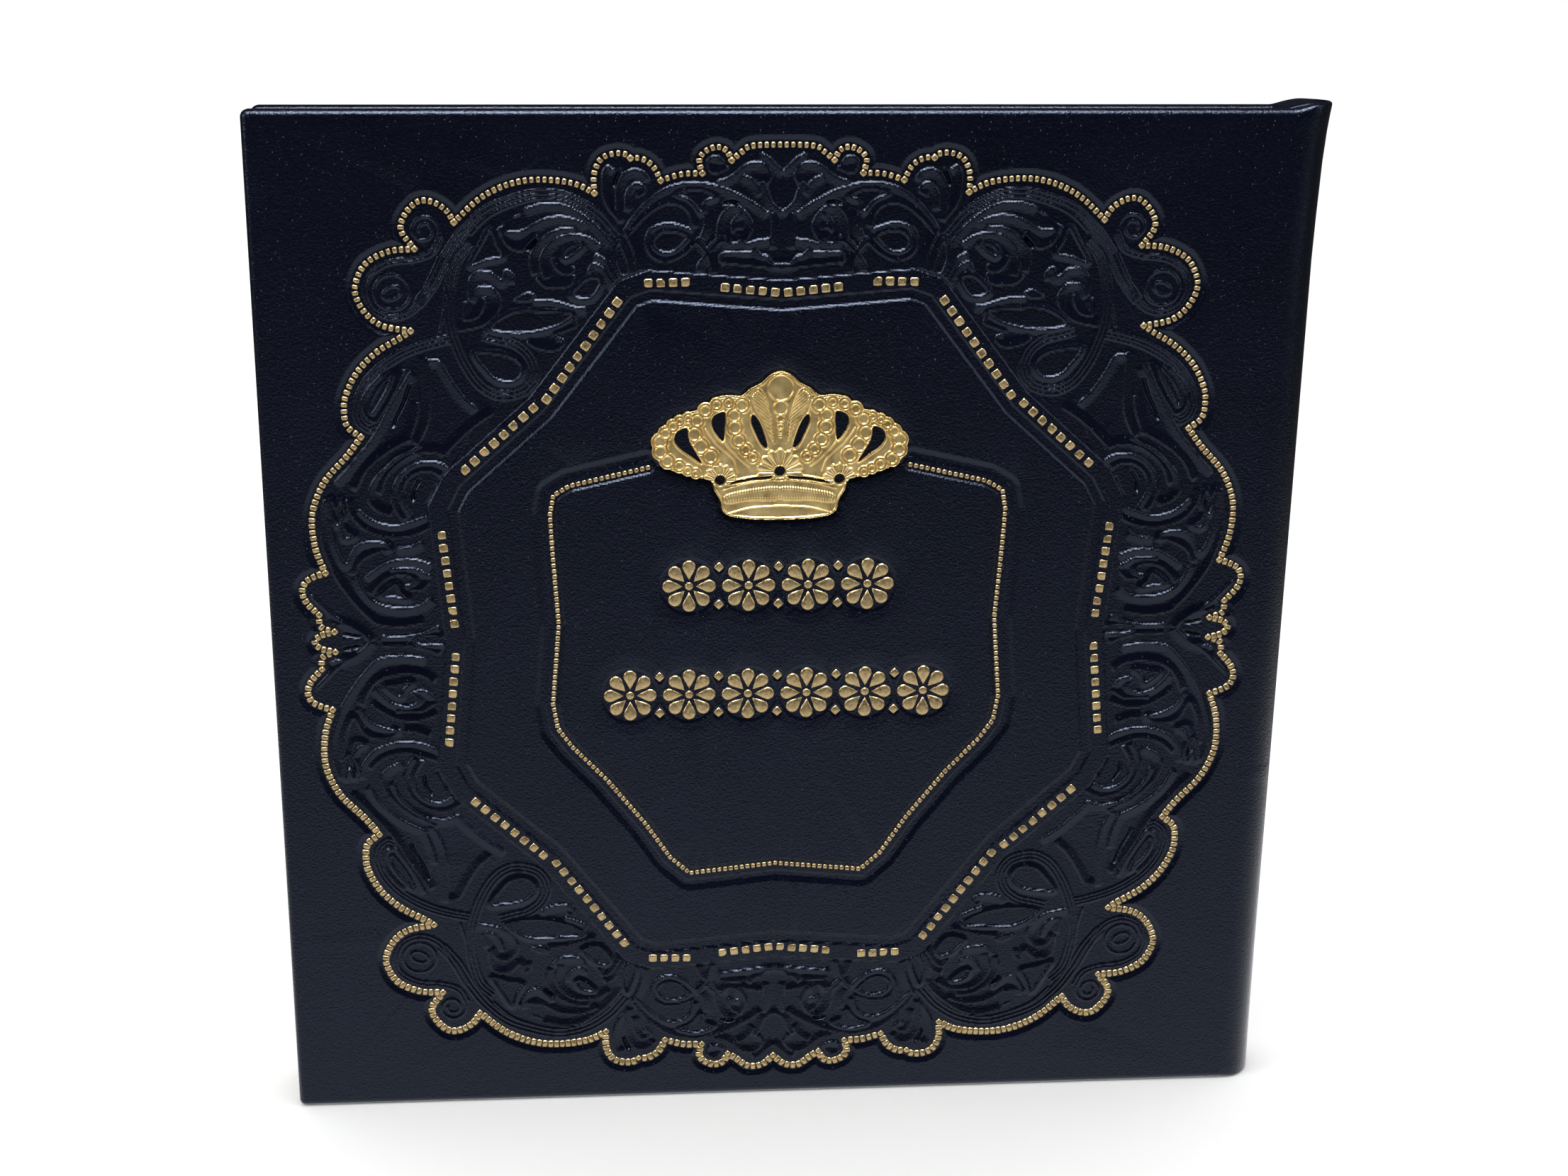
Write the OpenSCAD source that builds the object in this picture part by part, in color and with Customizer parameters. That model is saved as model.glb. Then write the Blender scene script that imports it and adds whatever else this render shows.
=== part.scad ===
// A square, hard-bound prayer book that stands on its tail edge.
// The front cover faces -Y, the spine is at +X and the fore edge at -X.

/* [Case] */
// Width from the fore edge to the crown of the spine
case_w = 142; // [115:1:180]
// Height of the covers
case_h = 142; // [115:1:190]
// Thickness over both covers
case_t = 12; // [10:0.5:30]
// Thickness of the leather
leather_t = 0.8; // [0.6:0.05:1.2]
// Thickness of the cover boards
board_t = 1.9; // [1.5:0.1:2.5]
// Thickness of the skived leather that is turned in over the boards
turnin_t = 0.4; // [0.3:0.05:0.6]
// Width of the leather that is turned in over the boards
turnin_w = 15; // [10:1:20]
// Radius of the covers' edges and corners
edge_r = 0.75; // [0.4:0.05:1.2]
// Distance from the joint to the board's edge
board_setback = 1.5; // [1:0.1:4]

/* [Spine] */
// Depth of the rounded spine behind the joints
spine_d = 5; // [3:0.1:5.5]
// Height of the leather cap above the covers at the head
headcap_rise = 0.8; // [0.2:0.1:2]
// Slit between a cover and the spine at the joint
joint_gap = 0.3; // [0.2:0.05:0.6]
// Thickness of the card inside the spine
stiffener_t = 0.6; // [0.4:0.1:1]
// Height of the leather that is turned in at the head and tail of the spine
spine_turnin = 12; // [8:1:20]

/* [Endpapers] */
// Thickness of the sheets pasted to the boards
pastedown_t = 0.15; // [0.1:0.05:0.3]
// Distance from the cover's edge to the sheet pasted inside it
pastedown_margin = 3; // [2:0.5:6]
// Thickness of a flyleaf
flyleaf_t = 0.15; // [0.1:0.05:0.2]

/* [Book block] */
// Overhang of the covers past the leaves
square_w = 2.5; // [1.5:0.5:5]
// Distance from the joint to the back of the leaves
block_setback = 0.8; // [0.6:0.1:2]
// Gap between neighbouring sections
leaf_gap = 0.1; // [0.08:0.01:0.2]
// Gap between the flyleaves and the covers
cover_gap = 0.15; // [0.1:0.05:0.3]
// Thickness of a section at its fold
fold_t = 0.12; // [0.08:0.01:0.2]
// Distance over which a section thins towards its fold
fold_taper = 4; // [3:0.5:8]

/* [Lining] */
// Thickness of the lining cloth on the back of the sections
mull_t = 0.3; // [0.2:0.05:0.5]
// Distance from the end of the leaves to the lining cloth
mull_inset = 10; // [5:1:20]
// Diameter of the sewing thread
thread_d = 0.3; // [0.2:0.05:0.5]
// Number of sewing stations along the spine
stitch_count = 5; // [3:1:9]
// Diameter of the bead of a headband
band_d = 1.4; // [1:0.1:1.8]
// Height of a headband's tape below its bead
band_h = 7; // [4:0.5:9]
// Thickness of a headband's tape
band_t = 0.4; // [0.3:0.1:0.6]

/* [Cover ornament] */
// Depth of the debossed channels
deboss_d = 0.3; // [0.2:0.05:0.4]
// Distance from the case's sides to the scalloped border
border_side = 6.25; // [5.8:0.05:10]
// Distance from the case's head and tail to the scalloped border
border_end = 4.3; // [3.5:0.1:9]
// Offset of the ornament towards the fore edge
ornament_shift = 1.7; // [0:0.1:2.5]
// Distance between beads of the border
bead_pitch = 0.85; // [0.8:0.05:1.5]
// Length of a border bead along the border
bead_w = 0.64; // [0.5:0.02:0.7]
// Length of a border bead across the border
bead_l = 0.95; // [0.6:0.05:1.2]
// Height of the gold beads and squares
bead_h = 0.4; // [0.2:0.05:0.5]
// Width of the border's channel
channel_w = 2.4; // [1.8:0.1:3]
// Side of a gold square in the eight-sided frame
square_s = 1.1; // [0.8:0.05:1.3]
// Distance between gold squares
square_pitch = 1.7; // [1.5:0.05:2.4]
// Width of the channel that holds the squares
band_w = 3; // [2:0.1:3.6]
// Distance between beads of the inner panel
panel_pitch = 0.8; // [0.7:0.05:1.2]
// Size of a bead of the inner panel
panel_bead = 0.6; // [0.4:0.02:0.65]
// Width of the inner panel's channel
panel_channel = 2.4; // [1.5:0.1:3]
// Diameter of a rosette in the two gold rows
rosette_d = 7.4; // [5:0.2:8]
// Distance between rosettes
rosette_pitch = 8.2; // [8.1:0.1:10]
// Side of the small lozenges between the rosettes
lozenge_s = 1.1; // [0.6:0.1:1.4]
// Least distance from a row of rosettes to the panel's beads
row_margin = 5; // [3:0.5:10]
// Thickness of the foil of the rosettes
foil_t = 0.12; // [0.08:0.02:0.2]

/* [Crown plaque] */
// Width of the crown
crown_w = 34.4; // [24:0.2:38]
// Thickness of the crown
crown_t = 0.9; // [0.6:0.05:1.5]
// Height of the crown's rings and shells above its plate
crown_relief = 0.2; // [0.1:0.05:0.4]
// Clearance around pieces that sit in a pocket or seat
fit_gap = 0.05; // [0.03:0.01:0.1]

/* [Hidden] */
$fn = 48;
overrun = 1;
section_count = 6;
leather_colour = [0.075, 0.085, 0.14];
gold_colour = [0.83, 0.68, 0.36];
card_colour = [0.62, 0.55, 0.44];
paper_colour = [0.93, 0.9, 0.82];
cloth_colour = [0.85, 0.83, 0.77];
band_colour = [0.9, 0.88, 0.8];
// Straight steps between two points of a curve
curve_steps = 3;
// Points of a line that lie closer than this are one point
least_step = 0.005;
// Cosine of the angle from which a line's corner counts as sharp
sharp_turn = cos(40);

crown_proud = crown_t + crown_relief - deboss_d;
mid_y = crown_proud / 2;
cover_t = leather_t + board_t + turnin_t;
front_y = -case_t / 2;
joint_x = case_w / 2 - spine_d;
fore_x = -case_w / 2;
cover_end_x = joint_x - joint_gap / 2;
block_x = joint_x - block_setback;
block_h = case_h - 2 * square_w;
flyleaf_y = front_y + cover_t + pastedown_t + cover_gap;
stack_y = flyleaf_y + flyleaf_t + leaf_gap;
section_t = (-2 * stack_y - (section_count - 1) * leaf_gap) / section_count;
flyleaf_x = block_x + flyleaf_t + fit_gap;

spine_r = (case_t * case_t / 4 + spine_d * spine_d) / (2 * spine_d);
spine_x = case_w / 2 - spine_r;
spine_h = case_h + headcap_rise;
pocket_r = spine_r - leather_t;
lining_r = pocket_r - stiffener_t;
inner_r = lining_r - turnin_t;

thread_x = block_x + fit_gap + thread_d / 2;
mull_x = block_x + 2 * fit_gap + thread_d;

// The ornament is drawn on a layout of this half width and half height, and stretched to the cover.
layout_w = 64.75;
layout_h = 66.7;
stretch = [
    (case_w / 2 - border_side) / layout_w,
    (case_h / 2 - border_end) / layout_h
];
ornament_z = case_h / 2;

// One quarter of the scalloped border, from the middle of a side to the middle of the head.
// Each lobe runs from cusp to cusp.
quarter_lobes = [
    [[60.7, 1.45], [62.5, 2.2], [62.65, 3.9]],
    [[62.65, 3.9], [64.2, 5.6], [64.75, 7.2], [64.2, 8.6], [62.8, 9.4], [61.5, 9.8]],
    [[61.5, 9.8], [62.6, 13], [62.95, 16.5], [62.5, 19.3], [60.9, 22.6], [57.8, 26], [55.9, 28.5]],
    [
        [55.9, 28.5], [57.6, 29.9], [57.95, 32], [57.6, 34.2], [56, 37.2], [53.4, 39.8], [50.2, 41.7],
        [48.8, 42.6]
    ],
    [
        [48.8, 42.6], [52.4, 43.3], [54.5, 44.9], [55.7, 47.2], [55.6, 49.1], [54.2, 51.5], [51.2, 53],
        [47.9, 53.3]
    ],
    [[47.9, 53.3], [49.5, 55.6], [49.1, 57.5], [47.4, 59.3], [45.6, 59.4], [43.7, 58.3], [42.7, 56.7]],
    [[42.7, 56.7], [39.6, 59.5], [36.6, 61.15], [33.4, 62], [30, 62.05], [26.8, 61.5], [24.5, 60.35]],
    [[24.5, 60.35], [24.5, 62.8], [23.6, 64.7], [21.9, 65.4], [20.4, 65.3], [19.8, 64.8]],
    [[19.8, 64.8], [18.4, 64.75], [16.9, 63.8], [15.9, 61.95]],
    [[15.9, 61.95], [13.2, 62.75], [10.5, 62.85]],
    [[10.5, 62.85], [10.9, 64.5], [10.2, 65.6], [8.7, 66.2], [7.4, 65.8], [6.7, 64.5]]
];
side_lobe = [[60.7, -1.45], [62.6, -0.95], [63.4, 0], [62.6, 0.95], [60.7, 1.45]];
head_lobe = [[6.7, 64.5], [5.2, 65.7], [3.6, 66.4], [-3.6, 66.4], [-5.2, 65.7], [-6.7, 64.5]];
tail_lobe = [[6.7, 64.5], [5.4, 65.4], [4, 66.5], [2.8, 66.7], [1.4, 66.3], [0, 65]];

// Runs of gold squares in one quarter of the eight-sided frame, as start and end points.
square_runs = [
    [[44.4, 2.4], [45.7, 14.9]],
    [[42.3, 23.9], [33, 32.2]],
    [[31.2, 33.4], [21.7, 46.2]],
    [[17.6, 48.7], [12.7, 48.8]],
    [[7.5, 48.1], [0.85, 47.4]]
];
// Corners of one quarter of the frame's centre line.
frame_corners = [
    [44.2, 0], [45.9, 18.6], [43.9, 22.4], [32.4, 32.6], [20.6, 47.8], [17.4, 48.9], [0, 47.5]
];

// Right half of the inner panel, from the crown to the middle of its foot.
panel_points = [
    [17.4, 23.9], [28.4, 21.5], [30.6, 20.2], [31.1, 17.5], [30.9, 13], [30.2, 2], [31.2, -9.5],
    [30.6, -13.2], [28.6, -16], [24, -20.85], [18.6, -27.65], [15, -33.05], [12.25, -35.5], [0, -34.25]
];
// The panel's half width where its sides draw in.
panel_waist = 30.2;
// Heights of the two gold rows above the ornament's middle, and how many rosettes each has less than fit.
row_heights = [7.2, -8.5];
row_counts_less = [2, 0];
// A rosette's petals, and where they start, as shares of its radius.
petal_count = 8;
petal_r = 0.255;
petal_tip = 0.22;
eye_r = 0.165;
// Height of the lozenges above and below a row's middle, as a share of a rosette's diameter.
lozenge_rise = 0.36;

// Right half of the crown's outline and its openings, on a layout of this full width.
crown_layout_w = 34.4;
crown_foot = 16.6;
crown_outline = [
    [0, 20.3], [1.4, 19.8], [2.5, 18.8], [4, 18], [5.3, 17], [6.9, 17.1], [8.6, 16.8], [9.9, 15.8],
    [11.2, 15.1], [13, 14.6], [14.9, 13.4], [16.3, 12], [17.2, 10.3], [16.9, 8.9], [15.6, 7.5], [12.8, 6.4],
    [9.4, 5.5], [8.9, 4.2], [8, 2.6], [7.8, 1.4], [6.8, 0.6], [4, 0.15], [0, 0]
];
crown_openings = [
    [[3.7, 14.5], [2.9, 13.6], [2.2, 11.9], [1.7, 10], [2.4, 10.2], [3.3, 11.9], [3.9, 13.5]],
    [[7.5, 14.8], [8.9, 14.4], [9.2, 13.3], [8.7, 12], [7.7, 10.9], [7.5, 12.8]],
    [
        [12.6, 12.7], [13.9, 12.2], [14.2, 11], [13.5, 9.9], [12.1, 8.9], [10.6, 7.9], [11.5, 9.6],
        [12.3, 11.1]
    ]
];
crown_shells = [[0, 6.7], [8.1, 5.5]];
shell_r = 2.4;
shell_hole_r = 0.7;
medallion = [0, 18.1];
medallion_r = 1.6;

// A smooth curve through points, with straight run-outs at both ends.
function curve_point(a, b, c, d, t) =
    (2 * b + (c - a) * t + (2 * a - 5 * b + 4 * c - d) * t * t + (3 * b - a - 3 * c + d) * t * t * t) / 2;
function curve(points, steps) = let (last = len(points) - 1) [
    for (i = [0 : last - 1])
        let (before = i > 0 ? points[i - 1] : 2 * points[0] - points[1])
        let (after = i < last - 1 ? points[i + 2] : 2 * points[last] - points[last - 1])
        for (k = [0 : steps - 1]) curve_point(before, points[i], points[i + 1], after, k / steps),
    points[last]
];
function closed_curve(points, steps) = let (n = len(points)) [
    for (i = [0 : n - 1], k = [0 : steps - 1])
        curve_point(points[(i + n - 1) % n], points[i], points[(i + 1) % n], points[(i + 2) % n], k / steps)
];
function reversed(list) = [for (i = [len(list) - 1 : -1 : 0]) list[i]];
function flipped(points, sx, sz) = [for (p = points) [p.x * sx, p.y * sz]];
function laid_out(points) = [for (p = points) [p.x * stretch.x, p.y * stretch.y]];
function scaled_about(points, centre, factors) = [
    for (p = points) [centre.x + (p.x - centre.x) * factors.x, centre.y + (p.y - centre.y) * factors.y]
];

// Distances along a polyline, and [x, z, angle] at even steps of about the given pitch.
function distances(line) = [
    for (i = 0, d = 0; i < len(line); d = d + (i + 1 < len(line) ? norm(line[i + 1] - line[i]) : 0),
        i = i + 1) d
];
function place_at(line, along, d) =
    let (i = max([for (k = [0 : len(line) - 2]) if (k == 0 || along[k] < d) k]))
    let (step = line[i + 1] - line[i])
    let (p = line[i] + step * (d - along[i]) / (along[i + 1] - along[i]))
    [p.x, p.y, atan2(step.y, step.x)];
function even_places(line, pitch, first, less) =
    let (along = distances(line))
    let (total = along[len(along) - 1])
    let (n = max(1, round(total / pitch)))
    [for (k = [first : n - less]) place_at(line, along, k * total / n)];

// A closed line moved outwards, or inwards for a negative distance, as seen from a line that runs
// anticlockwise. Points that would come closer to another stretch of the line are left out.
function side_of(v) = [v.y, -v.x] / norm(v);
function segment_distance(q, a, b) =
    let (along = max(0, min(1, (q - a) * (b - a) / ((b - a) * (b - a)))))
    norm(q - a - along * (b - a));
function line_distance(q, line) = min([
    for (i = [0 : len(line) - 1]) segment_distance(q, line[i], line[(i + 1) % len(line)])
]);
function distinct(points) = let (n = len(points)) [
    for (i = [0 : n - 1]) if (norm(points[i] - points[(i + n - 1) % n]) > least_step) points[i]
];
function moved_line(points, distance) = let (line = distinct(points), n = len(line)) [
    for (i = [0 : n - 1])
        let (before = side_of(line[i] - line[(i + n - 1) % n]))
        let (after = side_of(line[(i + 1) % n] - line[i]))
        let (middle = (before + after) / norm(before + after))
        let (ways = before * after < sharp_turn ? [before, middle, after] : [middle / (middle * before)])
        for (way = ways)
            let (q = line[i] + distance * way)
            if (line_distance(q, line) > abs(distance) - least_step) q
];

// The border's lobes all the way round, starting at the middle of the spine side.
quarter_line = [for (lobe = quarter_lobes) curve(lobe, curve_steps)];
function quarter_outline(sx, sz) = [
    for (line = quarter_line, i = [0 : len(line) - 2]) [line[i].x * sx, line[i].y * sz]
];
border_outline = concat(
    curve(side_lobe, curve_steps),
    quarter_outline(1, 1),
    curve(head_lobe, curve_steps),
    reversed(quarter_outline(-1, 1)),
    flipped(reversed(curve(side_lobe, curve_steps)), -1, 1),
    quarter_outline(-1, -1),
    flipped(curve(tail_lobe, curve_steps), -1, -1),
    reversed(flipped(curve(tail_lobe, curve_steps), 1, -1)),
    reversed(quarter_outline(1, -1))
);
signs = [[1, 1], [-1, 1], [-1, -1], [1, -1]];
border_lines = concat(
    [for (s = signs, line = quarter_line) laid_out(flipped(line, s.x, s.y))],
    [for (sx = [1, -1]) laid_out(flipped(curve(side_lobe, curve_steps), sx, 1))],
    [laid_out(curve(head_lobe, curve_steps))],
    [for (sx = [1, -1]) laid_out(flipped(curve(tail_lobe, curve_steps), sx, -1))]
);
border_beads = [for (line = border_lines, p = even_places(line, bead_pitch, 1, 1)) p];

frame_outline = [
    for (i = [0 : 3])
        let (corners = flipped(frame_corners, signs[i].x, signs[i].y))
        each i % 2 == 0 ? corners : reversed(corners)
];
frame_places = [
    for (s = signs, run = square_runs) each even_places(laid_out(flipped(run, s.x, s.y)), square_pitch, 0, 0)
];

panel_half = laid_out(panel_points);
panel_start = [max(panel_half[0].x, crown_w / 2 + panel_bead), panel_half[0].y];
panel_line = [for (i = [0 : len(panel_half) - 1]) i == 0 ? panel_start : panel_half[i]];
panel_outline = concat(reversed(panel_line), flipped(panel_line, -1, 1));
panel_places = [
    for (sx = [1, -1]) each even_places(flipped(panel_line, sx, 1), panel_pitch, 0, sx > 0 ? 0 : 1)
];
panel_half_w = panel_waist * stretch.x;
row_room = 2 * (panel_half_w - row_margin);

crown_scale = crown_w / crown_layout_w;
crown_z = crown_foot * stretch.y;

// Moves the book so that its box is centred on the origin.
module placed() {
    translate([0, mid_y, 0]) children();
}

module back_side() {
    mirror([0, 1, 0]) children();
}

// Raises a flat shape out of the front cover: its foot lies at a depth below the cover's face.
module on_cover(depth, height) {
    translate([-ornament_shift, front_y + depth, ornament_z]) rotate([90, 0, 0])
        linear_extrude(height) children();
}

module cut_in_cover(depth) {
    on_cover(depth, depth + overrun) children();
}

// A flat cover outline, rounded at the fore edge only.
module rounded_strip(length, width) {
    translate([edge_r, 0]) square([length - edge_r, width]);
    translate([0, edge_r]) square([length, width - 2 * edge_r]);
    for (y = [edge_r, width - edge_r]) translate([edge_r, y]) circle(edge_r);
}

module rounded_bar(length, width) {
    translate([edge_r, 0]) square([length - 2 * edge_r, width]);
    translate([0, edge_r]) square([length, width - 2 * edge_r]);
    for (x = [edge_r, length - edge_r], y = [edge_r, width - edge_r]) translate([x, y]) circle(edge_r);
}

module cover_blank() {
    length = cover_end_x - fore_x;
    intersection() {
        translate([fore_x, front_y, 0]) linear_extrude(case_h) rounded_strip(length, cover_t);
        translate([fore_x, front_y + cover_t, 0]) rotate([90, 0, 0]) linear_extrude(cover_t)
            rounded_strip(length, case_h);
        translate([fore_x, front_y, 0]) rotate([90, 0, 90]) linear_extrude(length)
            rounded_bar(cover_t, case_h);
    }
}

module cover_leather() {
    difference() {
        cover_blank();
        translate([fore_x + leather_t, front_y + leather_t, leather_t])
            cube([case_w, board_t, case_h - 2 * leather_t]);
        translate([fore_x + turnin_w, front_y + leather_t + board_t / 2, turnin_w])
            cube([case_w, cover_t, case_h - 2 * turnin_w]);
        children();
    }
}

module cover_board() {
    translate([fore_x + leather_t + fit_gap, front_y + leather_t, leather_t + fit_gap])
        cube([
            cover_end_x - board_setback - fore_x - leather_t - fit_gap,
            board_t,
            case_h - 2 * (leather_t + fit_gap)
        ]);
}

module pastedown() {
    length = cover_end_x - board_setback - fore_x;
    translate([fore_x + pastedown_margin, front_y + cover_t, pastedown_margin])
        cube([length - pastedown_margin, pastedown_t, case_h - 2 * pastedown_margin]);
    translate([fore_x + turnin_w + fit_gap, front_y + leather_t + board_t, turnin_w + fit_gap])
        cube([
            length - turnin_w - fit_gap,
            turnin_t + pastedown_t,
            case_h - 2 * (turnin_w + fit_gap)
        ]);
}

module flyleaf() {
    translate([fore_x + square_w, flyleaf_y, square_w])
        cube([flyleaf_x - fore_x - square_w, flyleaf_t, block_h]);
}

module rectangles(places, length, width) {
    for (p = places) translate([p.x, p.y]) rotate(p[2]) square([length, width], center = true);
}

// A flat channel along a closed line.
module channel(line, width) {
    difference() {
        polygon(moved_line(line, width / 2));
        polygon(moved_line(line, -width / 2));
    }
}

module mirrored_pair() {
    children();
    mirror([1, 0]) children();
}

// A drop that comes to a point at tip and ends in an arc of radius r about centre.
module drop(tip, centre, r) {
    reach = centre - tip;
    side = sqrt(reach * reach - r * r);
    touch = [side * r / reach, tip + side * side / reach];
    translate([0, centre]) circle(r);
    polygon([[0, tip], touch, [0, centre], [-touch.x, touch.y]]);
}

// Rosettes and lozenges in two rows, each shape drawn smaller by a margin all round.
module rosette(margin) {
    radius = rosette_d / 2;
    circle(radius * eye_r - margin);
    for (k = [0 : petal_count - 1]) rotate(k * 360 / petal_count)
        drop(radius * petal_tip + 2 * margin, radius * (1 - petal_r), radius * petal_r - margin);
}

module rosette_rows(margin) {
    for (r = [0 : len(row_heights) - 1]) {
        count = max(2, floor(row_room / rosette_pitch) - row_counts_less[r]);
        first_x = -(count - 1) / 2 * rosette_pitch;
        row_z = row_heights[r] * stretch.y;
        for (k = [0 : count - 1]) translate([first_x + k * rosette_pitch, row_z]) rosette(margin);
        for (k = [0 : count - 2], side = [-1, 1])
            translate([first_x + (k + 0.5) * rosette_pitch, row_z + side * rosette_d * lozenge_rise])
                rotate(45) square(lozenge_s - 2 * margin, center = true);
    }
}

// The crown's outline, grown all round by about the given amount.
module crown_shape(grow) {
    half = curve(crown_outline, curve_steps);
    middle = [0, crown_outline[0].y * crown_scale / 2];
    factors = [1 + grow / (crown_w / 2), 1 + grow / middle.y];
    outline = [for (p = concat(half, reversed(flipped(half, -1, 1)))) p * crown_scale];
    translate([0, crown_z]) polygon(scaled_about(outline, middle, factors));
}

module crown_at(p) {
    translate([0, crown_z]) mirrored_pair() translate(p * crown_scale) children();
}

module front_leather() {
    color(leather_colour) placed() cover_leather() {
        cut_in_cover(deboss_d) channel(laid_out(border_outline), channel_w);
        cut_in_cover(deboss_d) channel(laid_out(frame_outline), band_w);
        cut_in_cover(deboss_d) channel(panel_outline, panel_channel);
        cut_in_cover(deboss_d) crown_shape(fit_gap);
        cut_in_cover(foil_t) rosette_rows(0);
    }
}

module front_board() {
    color(card_colour) placed() cover_board();
}

module front_pastedown() {
    color(paper_colour) placed() pastedown();
}

module border_beading() {
    cusps = concat(
        [for (s = signs, lobe = quarter_lobes) flipped([lobe[0]], s.x, s.y)[0]],
        [for (s = signs) flipped([head_lobe[0]], s.x, s.y)[0]],
        [flipped([tail_lobe[len(tail_lobe) - 1]], 1, -1)[0]]
    );
    color(gold_colour) placed() on_cover(deboss_d, bead_h) {
        rectangles(border_beads, bead_w, bead_l);
        rectangles([for (p = laid_out(cusps)) [p.x, p.y, 45]], bead_w, bead_w);
    }
}

module frame_squares() {
    color(gold_colour) placed() on_cover(deboss_d, bead_h) rectangles(frame_places, square_s, square_s);
}

module panel_beading() {
    color(gold_colour) placed() on_cover(deboss_d, bead_h) rectangles(panel_places, panel_bead, panel_bead);
}

module title_ornament() {
    color(gold_colour) placed() on_cover(foil_t, foil_t) rosette_rows(fit_gap);
}

module crown_plaque() {
    color(gold_colour) placed() {
        on_cover(deboss_d, crown_t) difference() {
            crown_shape(0);
            for (opening = crown_openings) translate([0, crown_z]) mirrored_pair()
                polygon([for (p = closed_curve(opening, curve_steps)) p * crown_scale]);
            for (p = crown_shells) crown_at(p) circle(shell_hole_r * crown_scale);
        }
        on_cover(deboss_d - crown_t, crown_relief) {
            for (p = crown_shells) crown_at(p) difference() {
                circle(shell_r * crown_scale);
                circle(shell_hole_r * crown_scale);
            }
            crown_at(medallion) circle(medallion_r * crown_scale);
        }
    }
}

module back_leather() {
    color(leather_colour) placed() back_side() cover_leather();
}

module back_board() {
    color(card_colour) placed() back_side() cover_board();
}

module back_pastedown() {
    color(paper_colour) placed() back_side() pastedown();
}

module spine_cylinder(r, low, high) {
    translate([spine_x, 0, low]) cylinder(r = r, h = high - low);
}

module behind_joint(x) {
    intersection() {
        children();
        translate([x, -case_t, -overrun]) cube([case_w, 2 * case_t, spine_h + 2 * overrun]);
    }
}

module spine_leather() {
    color(leather_colour) placed() behind_joint(joint_x + joint_gap / 2) difference() {
        spine_cylinder(spine_r, 0, spine_h);
        spine_cylinder(inner_r, -overrun, spine_h + overrun);
        spine_cylinder(lining_r, spine_turnin, spine_h - spine_turnin);
        difference() {
            spine_cylinder(pocket_r, leather_t, spine_h - leather_t);
            spine_cylinder(lining_r, 0, spine_h);
        }
    }
}

module spine_stiffener() {
    color(card_colour) placed() behind_joint(joint_x + joint_gap) difference() {
        spine_cylinder(pocket_r - fit_gap, leather_t + fit_gap, spine_h - leather_t - fit_gap);
        spine_cylinder(lining_r + fit_gap, 0, spine_h);
    }
}

module mull() {
    color(cloth_colour) placed() translate([mull_x, stack_y, square_w + mull_inset])
        cube([mull_t, -2 * stack_y, block_h - 2 * mull_inset]);
}

module sewing_thread() {
    step = (block_h - 4 * mull_inset) / (stitch_count - 1);
    color(cloth_colour) placed() for (k = [0 : stitch_count - 1])
        translate([thread_x, stack_y, square_w + 2 * mull_inset + k * step]) rotate([-90, 0, 0])
            cylinder(d = thread_d, h = -2 * stack_y);
}

// A headband for the head of the block: a tape on the back of the sections and a bead above their edge.
module end_band() {
    bead_z = case_h - square_w + cover_gap + band_d / 2;
    translate([mull_x, stack_y, bead_z - band_d / 2 - band_h])
        cube([band_t, -2 * stack_y, band_h + band_d / 2]);
    translate([mull_x + band_t - band_d / 2, stack_y, bead_z]) rotate([-90, 0, 0])
        cylinder(d = band_d, h = -2 * stack_y);
}

module headband() {
    color(band_colour) placed() end_band();
}

module tailband() {
    color(band_colour) placed() translate([0, 0, case_h]) mirror([0, 0, 1]) end_band();
}

module front_flyleaf() {
    color(paper_colour) placed() flyleaf();
}

module back_flyleaf() {
    color(paper_colour) placed() back_side() flyleaf();
}

// A gathering of folded leaves, thinner at its fold so that it can turn beside its neighbours.
module section(k) {
    y = stack_y + k * (section_t + leaf_gap);
    color(paper_colour) placed() translate([0, y, square_w]) linear_extrude(block_h) polygon([
        [block_x, 0], [block_x, fold_t], [block_x - fold_taper, section_t],
        [fore_x + square_w, section_t], [fore_x + square_w, 0]
    ]);
}

front_leather();
front_board();
front_pastedown();
border_beading();
frame_squares();
panel_beading();
title_ornament();
crown_plaque();
back_leather();
back_board();
back_pastedown();
spine_leather();
spine_stiffener();
mull();
sewing_thread();
headband();
tailband();
front_flyleaf();
for (k = [1 : section_count]) {
    section(k - 1);
}
back_flyleaf();
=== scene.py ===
"""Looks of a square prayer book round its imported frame. Lengths are in millimetres until a mesh is made."""

import math

import bpy
import numpy as np
from mathutils import Matrix, Vector


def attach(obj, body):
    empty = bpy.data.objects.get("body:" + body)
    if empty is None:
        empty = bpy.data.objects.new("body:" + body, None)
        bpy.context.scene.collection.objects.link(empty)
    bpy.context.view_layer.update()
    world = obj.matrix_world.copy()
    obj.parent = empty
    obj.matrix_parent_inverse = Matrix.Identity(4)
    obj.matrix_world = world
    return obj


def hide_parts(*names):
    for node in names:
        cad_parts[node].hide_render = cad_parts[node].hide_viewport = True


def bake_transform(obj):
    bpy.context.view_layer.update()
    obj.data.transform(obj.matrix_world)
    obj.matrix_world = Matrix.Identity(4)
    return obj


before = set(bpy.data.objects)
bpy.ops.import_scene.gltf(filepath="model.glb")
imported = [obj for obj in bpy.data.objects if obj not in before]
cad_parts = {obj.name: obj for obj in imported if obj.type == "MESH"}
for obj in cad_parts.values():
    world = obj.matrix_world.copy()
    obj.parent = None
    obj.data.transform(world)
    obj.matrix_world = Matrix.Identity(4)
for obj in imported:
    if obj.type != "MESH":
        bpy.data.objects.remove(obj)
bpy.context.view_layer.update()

MM = 0.001

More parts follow.
